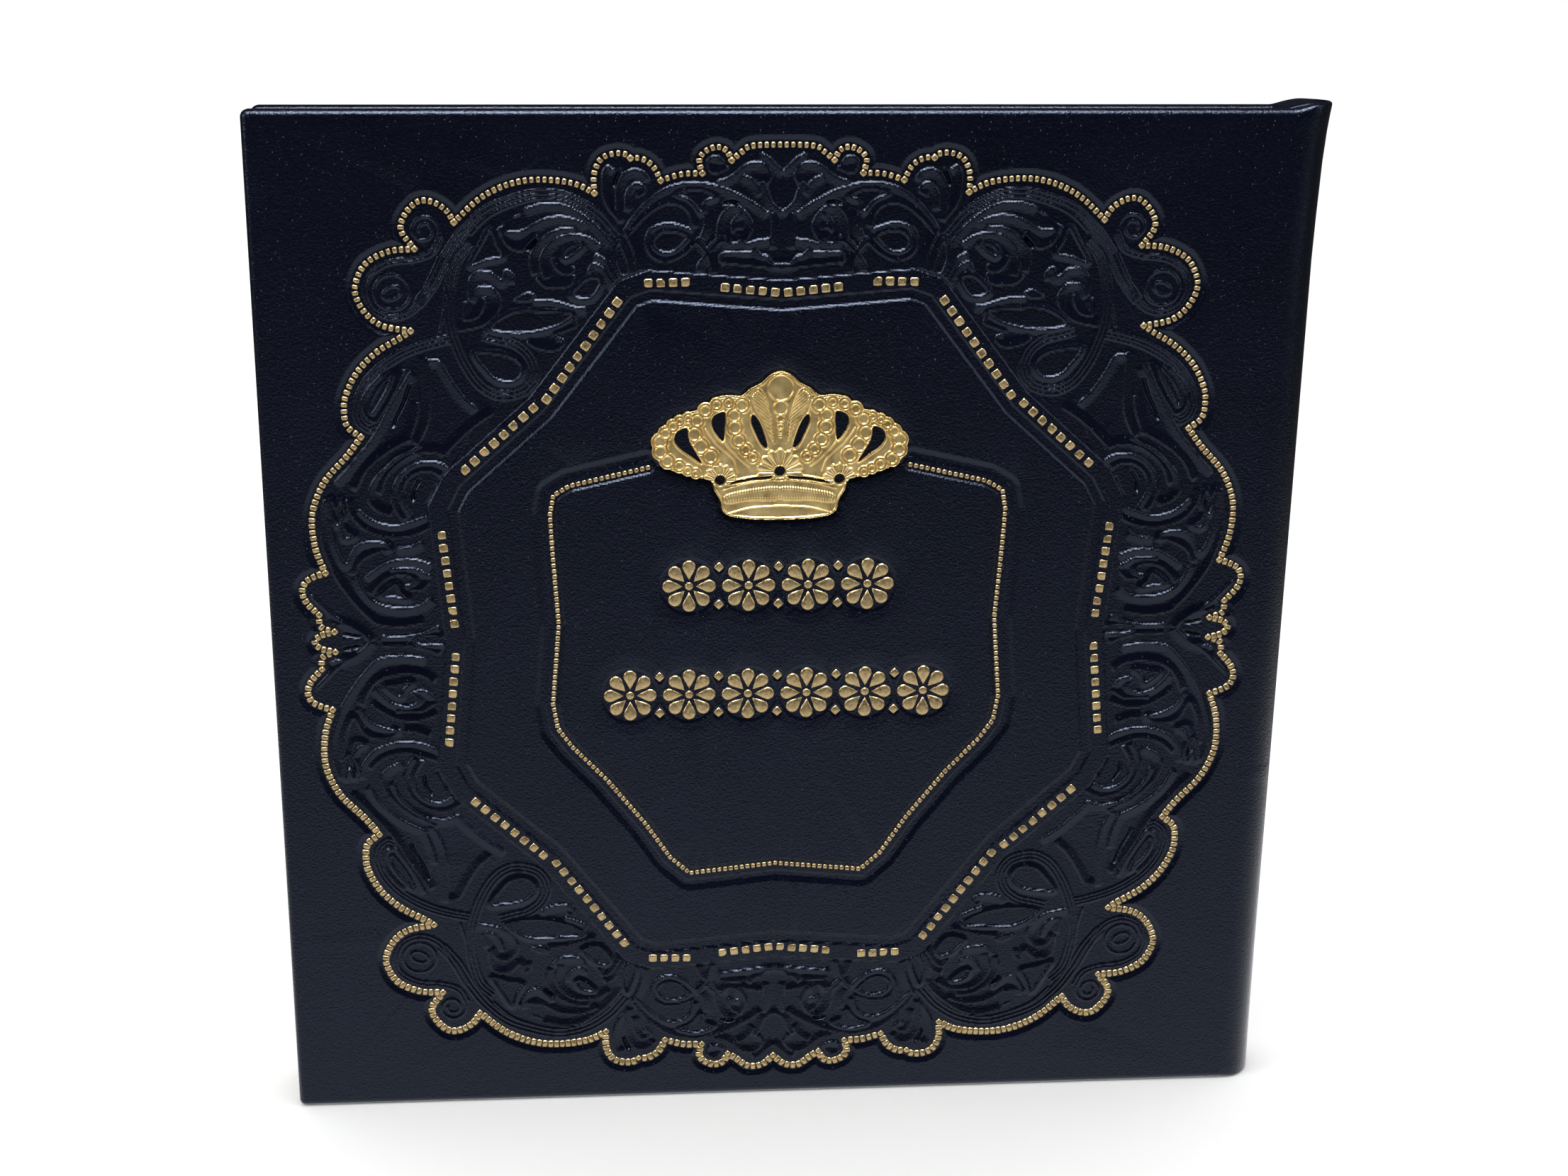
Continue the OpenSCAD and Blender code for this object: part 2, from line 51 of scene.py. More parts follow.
# Sizes of the case; the main ones are as in the part's source.
CASE_H = 142.0
FORE_X = -71.0
FRONT_Y = -5.6
BACK_Y = 6.4
MID_Y = 0.4
COVER_T = 3.1
EDGE_R = 1.0
TURNIN_W = 15.0
TURNIN_T = 0.4
FACE_END_X = 64.5
ORNAMENT_X = -1.7
ORNAMENT_Z = 71.0
COVER_SEAM_X = 65.4
SPINE_REACH = 5.6
SPINE_T = 0.7
HEADCAP = 0.8
HEAD_FLARE = 1.0
TAIL_FLARE = 0.2
CAP_R = 0.45
CAP_SAG = 0.5
CAP_INNER = (0.95, 12)
# The spine's flare towards its ends: parts of it, and their depths below the end.
FLARE_STEPS = ((0.12, 15), (0.34, 8), (0.6, 4), (0.8, 2))
# Degrees round the spine over which its flare and its head cap come in.
SPREAD_TURN = 35
HEADCAP_TURN = 45

# Sizes of the book block, its bands and its lining cloth; the main ones are as in the part's source.
SECTIONS = 6
SECTION_Y = -1.95
SECTION_PITCH = 0.8
SECTION_T = 0.7
FOLD_T = 0.12
FOLD_TAPER = 4.0
FOLD_X = 65.2
BLOCK_FORE_X = -68.5
BLOCK_Z = (2.5, 139.5)
LEAVES = 7
LEAF_TRIM = 0.12
LEAF_FILL = 0.84
BAND_X = 65.3
BAND_Z = 140.35
BAND_R = 0.7
BAND_H = 7.0
BAND_TURNS = 22
BAND_CORD = 0.1
TAPE_X = (65.62, 65.98)
TAPE_Z = (BAND_Z - 6, BAND_Z - 0.4)
MULL_X = 65.75
MULL_Y = (-1.95, 2.75)
MULL_Z = (12.5, 129.5)

# Strips of endpaper in the joint, in plan, and their distance from the head and the tail.
COVER_STRIP = [
    (62.5, -2.34), (65.2, -2.34), (65.48, -2.5), (65.58, -2.8), (65.58, -4.6), (65.48, -4.6),
    (65.48, -2.84), (65.42, -2.58), (65.16, -2.44), (62.5, -2.44),
]
SPINE_STRIP = [(65.95, -2.1), (66.0, -2.4), (66.0, -4.5), (66.1, -4.5), (66.1, -2.4), (66.05, -2.1)]
STRIP_INSET = 3.2

# Sizes of the studio round the book; the book's middle and the camera's place are in metres.
FLOOR_R = 2700.0
SWEEP_R = 800.0
WALL_H = 2000.0
BOOK_MIDDLE = (0, 0, 0.07)
CAMERA_PLACE = (-0.02764, -0.27546, 0.15721)
# Brightness of the world, from half way below the horizon up to it.
GLOW = ((0.0, 1.15), (0.1, 1.6), (0.2, 1.4), (0.3, 0.3), (0.5, 0.06), (1.0, 0.04))

# One quarter of the scalloped border, from the middle of a side to the middle of the head, lobe by lobe.
QUARTER_LOBES = [
    [(60.7, 1.45), (62.5, 2.2), (62.65, 3.9)],
    [(62.65, 3.9), (64.2, 5.6), (64.75, 7.2), (64.2, 8.6), (62.8, 9.4), (61.5, 9.8)],
    [(61.5, 9.8), (62.6, 13), (62.95, 16.5), (62.5, 19.3), (60.9, 22.6), (57.8, 26), (55.9, 28.5)],
    [(55.9, 28.5), (57.6, 29.9), (57.95, 32), (57.6, 34.2), (56, 37.2), (53.4, 39.8), (50.2, 41.7),
     (48.8, 42.6)],
    [(48.8, 42.6), (52.4, 43.3), (54.5, 44.9), (55.7, 47.2), (55.6, 49.1), (54.2, 51.5), (51.2, 53),
     (47.9, 53.3)],
    [(47.9, 53.3), (49.5, 55.6), (49.1, 57.5), (47.4, 59.3), (45.6, 59.4), (43.7, 58.3), (42.7, 56.7)],
    [(42.7, 56.7), (39.6, 59.5), (36.6, 61.15), (33.4, 62), (30, 62.05), (26.8, 61.5), (24.5, 60.35)],
    [(24.5, 60.35), (24.5, 62.8), (23.6, 64.7), (21.9, 65.4), (20.4, 65.3), (19.8, 64.8)],
    [(19.8, 64.8), (18.4, 64.75), (16.9, 63.8), (15.9, 61.95)],
    [(15.9, 61.95), (13.2, 62.75), (10.5, 62.85)],
    [(10.5, 62.85), (10.9, 64.5), (10.2, 65.6), (8.7, 66.2), (7.4, 65.8), (6.7, 64.5)],
]
SIDE_LOBE = [(60.7, -1.45), (62.6, -0.95), (63.4, 0), (62.6, 0.95), (60.7, 1.45)]
HEAD_LOBE = [(6.7, 64.5), (5.2, 65.7), (3.6, 66.4), (-3.6, 66.4), (-5.2, 65.7), (-6.7, 64.5)]
TAIL_LOBE = [(6.7, 64.5), (5.4, 65.4), (4, 66.5), (2.8, 66.7), (1.4, 66.3), (0, 65)]
BEAD_PITCH = 0.85

# The eight-sided frame of gold squares, and the inner panel.
SQUARE_RUNS = [
    [(44.4, 2.4), (45.7, 14.9)],
    [(42.3, 23.9), (33, 32.2)],
    [(31.2, 33.4), (21.7, 46.2)],
    [(17.6, 48.7), (12.7, 48.8)],
    [(7.5, 48.1), (0.85, 47.4)],
]
SQUARE_PITCH = 1.7
FRAME_CORNERS = [(44.2, 0), (45.9, 18.6), (43.9, 22.4), (32.4, 32.6), (20.6, 47.8), (17.4, 48.9), (0, 47.5)]
PANEL_POINTS = [
    (17.8, 23.9), (28.4, 21.5), (30.6, 20.2), (31.1, 17.5), (30.9, 13), (30.2, 2), (31.2, -9.5),
    (30.6, -13.2), (28.6, -16), (24, -20.85), (18.6, -27.65), (15, -33.05), (12.25, -35.5), (0, -34.25),
]
PANEL_PITCH = 0.8

# Rosettes in two gold rows.
ROW_HEIGHTS = [7.2, -8.5]
ROW_COUNTS = [4, 6]
ROSETTE_D = 7.4
ROSETTE_PITCH = 8.2
PETALS = 8
LOZENGE = 1.1
LOZENGE_Z = 0.36 * ROSETTE_D

# Sizes of the foil's beads and squares, and the places across one where it is sampled.
BORDER_BEAD = (0.68, 0.96)
CUSP_BEAD = (0.85, 0.85)
PANEL_BEAD = (0.64, 0.68)
SQUARE = (1.25, 1.25)
PILLOW_STEPS = (-1, -0.86, -0.5, 0, 0.5, 0.86, 1)
ROSETTE_BASE = -0.26
ROSETTE_TOP = 0.02
PETAL_TIP = 0.22
PETAL_R = 0.255
HUB_R = 0.165
GOLD_ROUGH = 0.3
# How beads differ: in tilt, in size and from head to tail.
BEAD_TILT = 0.06
BEAD_VARY = 0.05
BEAD_GROW = 0.16

# Crown outline, right half, from its tip to the middle of its foot.
CROWN_FOOT = 16.6
CROWN_OUTLINE = [
    (0, 20.3), (1.4, 19.8), (2.5, 18.8), (4, 18), (5.3, 17), (6.9, 17.1), (8.6, 16.8), (9.9, 15.8),
    (11.2, 15.1), (13, 14.6), (14.9, 13.4), (16.3, 12), (17.2, 10.3), (16.9, 8.9), (15.6, 7.5), (12.8, 6.4),
    (9.4, 5.5), (8.9, 4.2), (8, 2.6), (7.8, 1.4), (6.8, 0.6), (4, 0.15), (0, 0),
]

# Scrollwork of the head quarter on the fore-edge side, measured from the ornament's middle.
# A step is raised on its left (1) or right (-1) as it is drawn.
STEPS = [
    (1, [(-49.3, 37), (-51.2, 34.1), (-52.5, 31.9), (-53.5, 30), (-54.8, 28), (-56.4, 26.1), (-58.2, 24),
         (-59.5, 22.7)]),
    (1, [(-53, 37), (-54.5, 35.4), (-55.5, 33.9), (-55.7, 32.6), (-55.2, 31.1), (-54.3, 30.5), (-53.6, 30.5),
         (-53, 31.4), (-51.7, 33.4), (-50.6, 35.4), (-49.8, 37.2)]),
    (-1, [(-48, 32.8), (-48.4, 30.8), (-49.1, 28.7), (-49.3, 28)]),
    (-1, [(-46.6, 38.8), (-46.5, 34.4), (-46.6, 31.8), (-47.1, 29.7), (-48.2, 27.5)]),
    (-1, [(-49.3, 28), (-51.7, 26.8), (-54, 25.2), (-55.6, 23.5), (-56.6, 21.4)]),
    (1, [(-48.2, 27.5), (-49.3, 26.7), (-51.2, 25.8), (-53.1, 24.2), (-54.5, 22.7), (-55.3, 21),
         (-55.3, 19.6), (-54.3, 18.4), (-52.7, 17.7)]),
    (-1, [(-44.9, 25.8), (-46.7, 26.3), (-49.1, 25.9), (-51.2, 24.6), (-52.7, 22.9), (-53.4, 20.9)]),
    (1, [(-43.1, 22.4), (-43.9, 23.8), (-45.4, 24.9), (-47.2, 25.2), (-49.1, 24.8), (-50.9, 23.5),
         (-51.9, 21.9), (-52.2, 20.1), (-51.8, 18.4), (-51, 17.1)]),
    (1, [(-49.3, 17.6), (-50.4, 19.6), (-50.4, 21.6), (-49.6, 22.9), (-48, 23.7), (-46.5, 23.5),
         (-45.3, 22.4), (-45, 20.9), (-45.7, 19.3), (-47.2, 17.9), (-49.3, 17.1), (-51.7, 16.4), (-54, 16.8),
         (-55.5, 17.7), (-56.4, 18.6)]),
    (-1, [(-43.1, 20.7), (-43.5, 19.3), (-44.6, 17.7), (-46.5, 16.3), (-49.1, 15), (-51.7, 14.6), (-54, 14.9),
          (-56.1, 15.8), (-57.4, 17.2), (-58.1, 18.5), (-58.3, 19.7)]),
    (-1, [(-60.1, 17.2), (-59.9, 14.1), (-59.2, 12), (-58.6, 11.2), (-58.2, 12), (-57.4, 13.4), (-56.1, 14.1),
          (-54.3, 14.2), (-53.1, 13.8), (-52.5, 13.2)]),
    (-1, [(-51.5, 13.3), (-50.1, 13.4), (-48.7, 14)]),
    (1, [(-61.3, 19.8), (-62, 17.2), (-62, 14.6), (-61.4, 12), (-60.4, 9.4), (-59.2, 7.3), (-57.7, 5.2),
         (-56.1, 3.4), (-54.8, 2.4), (-51.7, 2), (-48.8, 2.4)]),
    (-1, [(-56, 9.4), (-54.8, 10.3), (-53.2, 11.2), (-51.2, 11.7), (-49.3, 11.6), (-47.5, 11)]),
    (1, [(-57.3, 9.7), (-56.9, 11), (-55.6, 12), (-53.8, 12.7), (-52.5, 12.8)]),
    (-1, [(-57, 9), (-56.5, 7.6), (-55.3, 6), (-53.5, 5.1), (-51.2, 4.8), (-49.1, 5.1), (-47.8, 6)]),
    (1, [(-55.2, 6.8), (-54.5, 7.8), (-53.2, 8.9), (-51.4, 9.4), (-50.1, 9), (-49.9, 8.5), (-50.2, 8),
         (-50.9, 8), (-50.6, 7.4), (-49.3, 7.1), (-48.2, 7.4), (-47.6, 8.1)]),
    (-1, [(-52.6, 10.4), (-50.6, 10.4), (-49.1, 10.3), (-47.6, 9.4)]),
    (-1, [(-63.4, 6.8), (-62.4, 5.8), (-60.5, 3.9), (-59.2, 2.9), (-57.7, 2.1)]),
    (-1, [(-54, 0.8), (-51.7, 0.7), (-49.1, 1.1), (-46.9, 2)]),
    (1, [(-61.2, 2.6), (-58.7, 2.1), (-56.9, 0.9), (-56.1, 0)]),
    (-1, [(-41.2, 47), (-41, 49.3), (-40.1, 50.4), (-39.1, 50.5), (-38, 50.3), (-36.7, 49.3), (-36.3, 50.6),
          (-35.2, 50.1), (-35, 49.1)]),
    (-1, [(-40.9, 46.8), (-40.3, 48.1), (-39.1, 48.5), (-37.8, 48.2), (-36.9, 46.8), (-37.1, 45.3),
          (-38.2, 44), (-39.7, 43.1), (-42.4, 42.5)]),
    (1, [(-41.8, 46.1), (-41.8, 44), (-40.1, 44.2), (-39.3, 45.2), (-38.9, 46.6)]),
    (-1, [(-32.5, 46.7), (-29.9, 46.5), (-27.2, 45.7), (-26.1, 45.6)]),
    (1, [(-33.5, 40.8), (-32.5, 40.2), (-30.6, 39.8), (-29.1, 40.2), (-28.7, 41.2), (-29.3, 41.7)]),
    (-1, [(-27.6, 44.8), (-27, 43.2), (-28.3, 42.5), (-29.9, 41.9)]),
    (-1, [(-32.9, 50.1), (-33.1, 52), (-32.5, 53.5), (-31, 55), (-29.1, 55.9), (-27.2, 56.1)]),
    (-1, [(-31.4, 49.5), (-31.8, 51.6), (-31.2, 53.3), (-29.5, 54.8), (-27.2, 55.2), (-25.3, 54.8),
          (-24, 54)]),
    (1, [(-30.2, 51.6), (-29.5, 50.4), (-28.3, 49.8), (-27.4, 50.1), (-27.2, 50.6)]),
    (1, [(-32.1, 49.1), (-31, 48.2), (-29.1, 48.1), (-27.6, 48.5), (-27.2, 49.5)]),
    (-1, [(-36.7, 55.9), (-36.1, 55.6), (-34, 55.7), (-32.5, 56.5), (-31, 57.2), (-29.1, 57.5), (-27.2, 57.2),
          (-25.7, 56.6)]),
    (1, [(-36.7, 55.9), (-36.5, 54.4), (-35.5, 53.3), (-34, 52.9), (-33.1, 53.8), (-32.1, 54.8)]),
    (-1, [(-33.3, 58.6), (-31, 59.2), (-28.3, 59), (-26.1, 57.8), (-23.8, 55.9), (-22.1, 53.7), (-21.5, 52)]),
    (-1, [(-24.2, 52.5), (-23, 51.8), (-22.3, 50.4), (-21.7, 49.3)]),
    (-1, [(-25.5, 50.4), (-25.1, 51.2), (-24.4, 51.4), (-23.4, 50.8), (-22.7, 49.7), (-21.9, 48.5)]),
    (-1, [(-20.5, 56.1), (-19.7, 57.3), (-17.6, 59.5), (-14.8, 61.3), (-11.2, 61.8), (-7.4, 61), (-3.6, 59.1),
          (-2, 58)]),
    (-1, [(-21.6, 56.9), (-22.8, 58.4), (-23.5, 60.1), (-23.7, 61.8), (-23.5, 63.3), (-22.8, 63.9),
          (-22.1, 63.6)]),
    (-1, [(-21.6, 56.9), (-21.8, 58.8), (-21.8, 60.9), (-21.4, 62), (-20.8, 62.9), (-19.9, 63.4), (-19, 63.5),
          (-18, 63.1), (-17.4, 62.4)]),
    (-1, [(-20.7, 58.4), (-20.6, 60.1), (-20, 61.2), (-19.3, 61.7), (-18.4, 61.6), (-17.8, 60.9), (-18, 60.3),
          (-18.7, 59.9)]),
    (-1, [(-22, 52.7), (-22.1, 51.4), (-21.8, 49.9), (-21.1, 49.1), (-20.1, 49.1), (-19.4, 49.9), (-19.3, 51),
          (-19.5, 52.5), (-20.1, 54), (-20.7, 55.4)]),
    (-1, [(-21.9, 48.9), (-21.1, 48.2), (-20.1, 48.1), (-19.2, 48.6)]),
    (-1, [(-11.3, 53.8), (-12.3, 52.8), (-13.7, 51.9), (-15.2, 51.4), (-16.7, 51.8), (-17.6, 52.7), (-18, 54),
          (-17.7, 55.4), (-16.9, 56.1), (-15.6, 56.5), (-14.2, 56.5), (-12.9, 56.1), (-12, 55.8)]),
    (1, [(-20, 54.8), (-19.2, 55.9), (-17.8, 57.3), (-16.3, 58.4), (-14.8, 58.9), (-13.3, 58.6),
         (-12.3, 57.6), (-12, 56.1)]),
    (1, [(-10.4, 57.3), (-10.4, 55.9), (-10.8, 54.8)]),
    (-1, [(-10.9, 54.6), (-10.3, 54), (-9.9, 53.4), (-9.4, 54), (-8.7, 54.5)]),
    (-1, [(-8.7, 54.6), (-8.6, 56.1), (-8.2, 57.4), (-7.4, 58.4), (-6.7, 58.8), (-5.7, 58.7), (-4.6, 57.8),
          (-3.9, 56.5), (-4, 55.4), (-4.7, 54.1)]),
    (1, [(-5.1, 58.1), (-6.1, 57.5), (-6.7, 56.7), (-6.8, 55.7), (-6.4, 55.2), (-6.1, 55.7), (-5.3, 55.6)]),
    (-1, [(-7.5, 54.8), (-7, 54.1), (-6.3, 53.9), (-5.5, 54.3)]),
    (1, [(-9.3, 52.7), (-8.2, 53.8), (-7, 53.9)]),
    (-1, [(-4.7, 53.9), (-3.4, 54.3), (-1.9, 54.5)]),
    (1, [(-1.6, 57.6), (-1.5, 55.7), (-1.7, 53.5)]),
    (1, [(-11.3, 53.8), (-10.6, 53.1), (-9.9, 52), (-9.5, 50.4), (-9.6, 48.9), (-10, 48.1), (-10.6, 48.6)]),
    (1, [(-10.4, 52.3), (-11.2, 51), (-11.4, 49.1), (-11.2, 47.8), (-10.4, 47.1), (-9.5, 47.3), (-9, 47.9)]),
    (-1, [(-8.1, 51.3), (-8.3, 52.3), (-7.5, 52.8), (-5.9, 52.9), (-4.2, 52.8)]),
    (-1, [(-3.3, 53.1), (-2.7, 52.4), (-1.8, 52.2), (-1.2, 51.4), (-0.5, 51.2), (0, 51.2)]),
    (1, [(-8.1, 51.3), (-5.5, 51), (-2.7, 50.7), (0, 50.4)]),
    (-1, [(-2.6, 65.4), (-1.7, 64.9), (-1.1, 64.3), (-0.3, 63.6), (0, 63.4)]),
    (-1, [(-8.4, 62), (-7.2, 62.4), (-6.1, 63.1), (-5, 64), (-3.8, 64.4), (-2.7, 64.3), (-1.8, 63.6),
          (-1.4, 62.7), (-1.8, 61.6)]),
    (-1, [(-5, 62.7), (-4, 62.2), (-3.2, 61.4), (-2.7, 60.5)]),
    (-1, [(-2.5, 61.6), (-1.9, 60.7), (-1.4, 59.3), (-0.6, 58.5), (0, 58.2)]),
    (-1, [(-10.2, 64.4), (-9.7, 65), (-8.8, 65.2), (-8, 64.9), (-7.6, 64.5)]),
    (1, [(-10.3, 64.3), (-10.1, 63.5), (-9.3, 62.9), (-8.4, 62.9), (-7.2, 63.4), (-6.3, 64.3), (-5.3, 64.8),
         (-4.4, 65.2)]),
    (1, [(-40.6, 32.4), (-42.2, 34), (-43.8, 36.5), (-45, 38.6), (-46.3, 38.9)]),
    (-1, [(-38.5, 31.3), (-40.5, 30), (-42.6, 28.2), (-44.9, 25.9)]),
]
# Ribbons of fine parallel ridges: the line, and the ridges' distances to its left.
RIBBONS = [
    ([(-48.2, 46.5), (-46.1, 49.3), (-44.3, 52.7), (-42, 55.9), (-39.1, 58.5), (-35.5, 60), (-31.4, 60.9),
      (-27.2, 60.1), (-23.8, 58), (-21.3, 55.2)], (0, -0.6, -1.2)),
    ([(-40.5, 55.2), (-39.5, 56.3), (-38.2, 57.4), (-36.7, 58.2), (-35.2, 58.8)], (0,)),
    ([(-44.75, 55), (-45.8, 53.1), (-48, 52.3), (-51.5, 51.8), (-54.1, 50.1), (-54.7, 47.6), (-53.5, 45.1),
      (-50.8, 44.1), (-48, 45.3), (-46.1, 48.4), (-44.3, 52)], (0, 0.55)),
    ([(-40.7, 53.8), (-42.4, 52), (-43.3, 49.3), (-43.7, 46.3), (-43.5, 43.2), (-42.9, 41), (-42, 38.7),
      (-40.7, 36.4), (-39.3, 34.9), (-37.4, 34), (-35.2, 34.2), (-33.5, 35.1), (-32.7, 36.8), (-32.9, 38.3),
      (-33.8, 39.8), (-35.5, 41), (-37.4, 41.5), (-39.3, 42)], (-0.55, 0, 0.55)),
    ([(-43.9, 42), (-46.1, 41.5), (-48.4, 40.8), (-50.3, 40), (-52.2, 38.9), (-54.1, 37.4), (-55.6, 35.5),
      (-56.4, 33.8), (-56.7, 32.1), (-56.2, 30.2), (-54.8, 29.2), (-53.6, 29.6)], (0, 0.5, 1)),
    ([(-43.9, 48), (-44.2, 46), (-45, 42.6)], (0,)),
]
# Sunk shapes, given by their closed outlines.
PITS = [
    [(-51.5, 36.9), (-52.7, 35.7), (-53.9, 34.1), (-54.5, 32.6), (-54.3, 31.7), (-53.7, 32.3), (-52.7, 33.9),
     (-51.9, 35.4)],
    [(-59, 16.7), (-58.4, 15.6), (-57.4, 14.9), (-58.7, 14.6)],
    [(-49.9, 0.2), (-48.6, 0.7), (-47, 0.7), (-44.8, 0.2), (-46.5, -0.6), (-48.6, -0.6)],
    [(-38, 55.7), (-39.3, 53.8), (-40.7, 51.2), (-38.6, 51.8), (-36.5, 52.3), (-37.2, 53.8)],
    [(-38.4, 42.9), (-36.7, 44.4), (-34.4, 45.2), (-31, 45.1), (-27.6, 44.8), (-28.7, 43.6), (-31, 42.7),
     (-34, 42.2), (-36.7, 42.3)],
    [(-27.6, 47.2), (-26.3, 48.9), (-25.1, 49.5), (-24.4, 49.5), (-23.8, 48.7), (-25.3, 46.7)],
    [(-28.7, 52.1), (-28.3, 53.1), (-27.2, 53.7), (-26.1, 53.7), (-27, 52.7), (-28.3, 51.9)],
    [(-21.5, 54), (-21.9, 52.9), (-21.9, 51.6), (-21.6, 50.4), (-21.1, 49.6), (-20.3, 49.6), (-20.1, 50.3),
     (-20.3, 51.6), (-20.8, 52.9), (-21.2, 53.9)],
    [(-12.4, 54.7), (-13.7, 55.4), (-15, 55.5), (-16.1, 55.2), (-16.8, 54.4), (-16.9, 53.6), (-16.3, 52.9),
     (-15.2, 52.6), (-14, 52.9), (-13.1, 53.7)],
    [(-13.9, 60.2), (-12.7, 60.7), (-11.4, 60.9), (-9.9, 60.6), (-8.8, 59.9), (-9.7, 59.5), (-10.3, 59),
     (-10.4, 58), (-10.9, 58), (-11.6, 58.9), (-12.5, 59.6)],
    [(-40.5, 39.8), (-39, 39.7), (-37.1, 39.5), (-35.4, 38.9), (-34.4, 37.9), (-34.4, 36.8), (-35.2, 35.9),
     (-36.5, 35.7), (-38, 36.2), (-39.3, 37.6), (-40.3, 38.9)],
    [(-52.1, 8.1), (-53.5, 7.2), (-54, 6.5), (-52.7, 6.3), (-50.6, 6), (-51.6, 7)],
    [(-60.2, 19.9), (-59.6, 18.7), (-59, 19.9), (-58.6, 18), (-59.4, 16.4), (-60.1, 17.3)],
]
# Raised pads, given by their closed outlines.
PADS = [
    [(-35.4, 46.5), (-34.4, 47.4), (-33.1, 47.8), (-32.1, 47), (-33.5, 46.1)],
    [(-35.4, 57.4), (-34.2, 57.9), (-33.3, 58.1), (-34.6, 57.2)],
]
# Ovals with raised rims: centre, half sizes and tilt in degrees.
OVALS = [
    ((-51, 47.7), (2.35, 2.3), 0),
    ((-51, 47.6), (1.25, 0.8), 20),
    ((-14.9, 54.1), (0.75, 0.3), 5),
]
# Spirals: centre, first and last radius, first angle and turns.
SPIRALS = [
    ((-46.6, 55.7), 2.0, 0.6, -10, 1.55),
]
# Deep slits in the relief.
SLITS = [
    [(-49.3, 35.4), (-50.1, 33.1), (-51.2, 31), (-51.5, 30)],
    [(-48.4, 22.5), (-49.2, 21.2), (-49.3, 19.9)],
    [(-46.2, 21.6), (-46.7, 20.3), (-47.4, 19.2)],
    [(-21.9, 61.4), (-21.6, 62.4), (-21.2, 63.2)],
    [(-7.6, 59), (-6.7, 59.2), (-5.9, 59)],
    [(-59.5, 1.1), (-57.4, 0.7)],
    [(-33.2, 53.3), (-32.1, 54.2)],
]

# Lengths of the pieces of smooth lines, from large outlines to fine wires.
BORDER_STEP = 0.4
SCROLL_STEP = 0.3
WIRE_STEP = 0.2
# How far the reliefs' triangles may miss them, and how many the front face keeps.
FACE_TOLERANCE = 0.012
FACE_TRIANGLES = 188000
CROWN_TOLERANCE = 0.015
SLOPE_TOLERANCE = 0.45

# Levels and widths of the relief.
GROUND = -0.3
STEP_H = 0.24
STEP_REACH = 1.5
STEP_EDGE = 0.3
STEP_END = 0.6
RIDGE_H = 0.13
RIDGE_W = 0.32
PAD_EDGE = 0.4
PIT_D = 0.16
PIT_LIP = 0.9
PIT_EDGE = 0.5
SLIT_D = 0.35
SLIT_W = 0.4
STRIP_RISE = 0.17
BEAD_BASE = GROUND - 0.02
BEAD_TOP = -0.1
CUSP_TOP = BEAD_TOP + 0.03
SQUARE_TOP = -0.03
# How far beyond the ornament's middle a quarter's outlines are closed.
PAST_MIDDLE = 7.0
# Slopes beside the lines of the ornament: where each begins, and its width.
BORDER_SLOPE = (0.55, 0.85)
SCROLL_SLOPE = (0.75, 0.4)
FRAME_SLOPE = (1.5, 0.4)
FIELD_SLOPE = (2.15, 0.6)
FIELD_FULL = 0.98
PANEL_LIP_SLOPE = (0.95, 0.25)
PANEL_IN_SLOPE = (0.5, 0.45)
PANEL_OUT_SLOPE = (1.75, 0.9)
PANEL_LIP_H = 0.1
# The raised strip that carries the squares: its reach inside and outside the frame, and its slope's width.
STRIP_IN = 0.95
STRIP_OUT = 1.3
STRIP_SLOPE = 0.3
# Leather pressed in round the gold: its depth, and parts of it with the widths over which they fade.
PRESS_D = 0.16
SEAT_SLOPE = 0.8
CROWN_PRESS = (0.5, 2.2)
ROSETTE_PRESS = ((0.55, 0.5), (0.55, 2.4))
LOZENGE_PRESS_W = 0.6

# Crown details, left half, measured from the middle of its foot: rings, openings and shells.
CROWN_ROWS = [
    [(-16.17, 10.89, 0.82), (-16.12, 9.54, 0.77), (-15.2, 8.27, 0.71), (-13.62, 7.58, 0.56),
     (-12.47, 6.99, 0.43), (-11.4, 6.56, 0.38), (-15.46, 12.04, 0.61), (-14.46, 13.06, 0.51),
     (-13.55, 13.7, 0.38), (-12.42, 14.16, 0.36)],
    [(-11.2, 13.78, 0.71), (-11.53, 11.91, 0.84), (-10.74, 10.26, 0.89), (-9.41, 8.85, 0.84)],
    [(-5.2, 15.79, 0.77), (-6.22, 14.39, 0.77), (-6.15, 12.76, 0.82), (-5.59, 11.02, 0.71),
     (-4.64, 9.74, 0.61), (-3.67, 8.72, 0.51)],
    [(-10.1, 15.15, 0.64), (-8.6, 15.92, 0.51), (-6.99, 16.17, 0.46)],
]
CROWN_STEM = [(0, 18.11, 1.73), (0, 15.41, 0.94), (0, 13.95, 0.51), (0, 12.88, 0.33), (0, 12.17, 0.2),
              (0, 11.53, 0.18)]
CROWN_RINGS = [ring for row in CROWN_ROWS for ring in row] + CROWN_STEM
CROWN_DOT = (-4.6, 6.9, 0.2)
CROWN_OPENINGS = [
    [(-3.7, 14.5), (-2.9, 13.6), (-2.2, 11.9), (-1.7, 10), (-2.4, 10.2), (-3.3, 11.9), (-3.9, 13.5)],
    [(-7.5, 14.8), (-8.9, 14.4), (-9.2, 13.3), (-8.7, 12), (-7.7, 10.9), (-7.5, 12.8)],
    [(-12.6, 12.7), (-13.9, 12.2), (-14.2, 11), (-13.5, 9.9), (-12.1, 8.9), (-10.6, 7.9), (-11.5, 9.6),
     (-12.3, 11.1)],
]
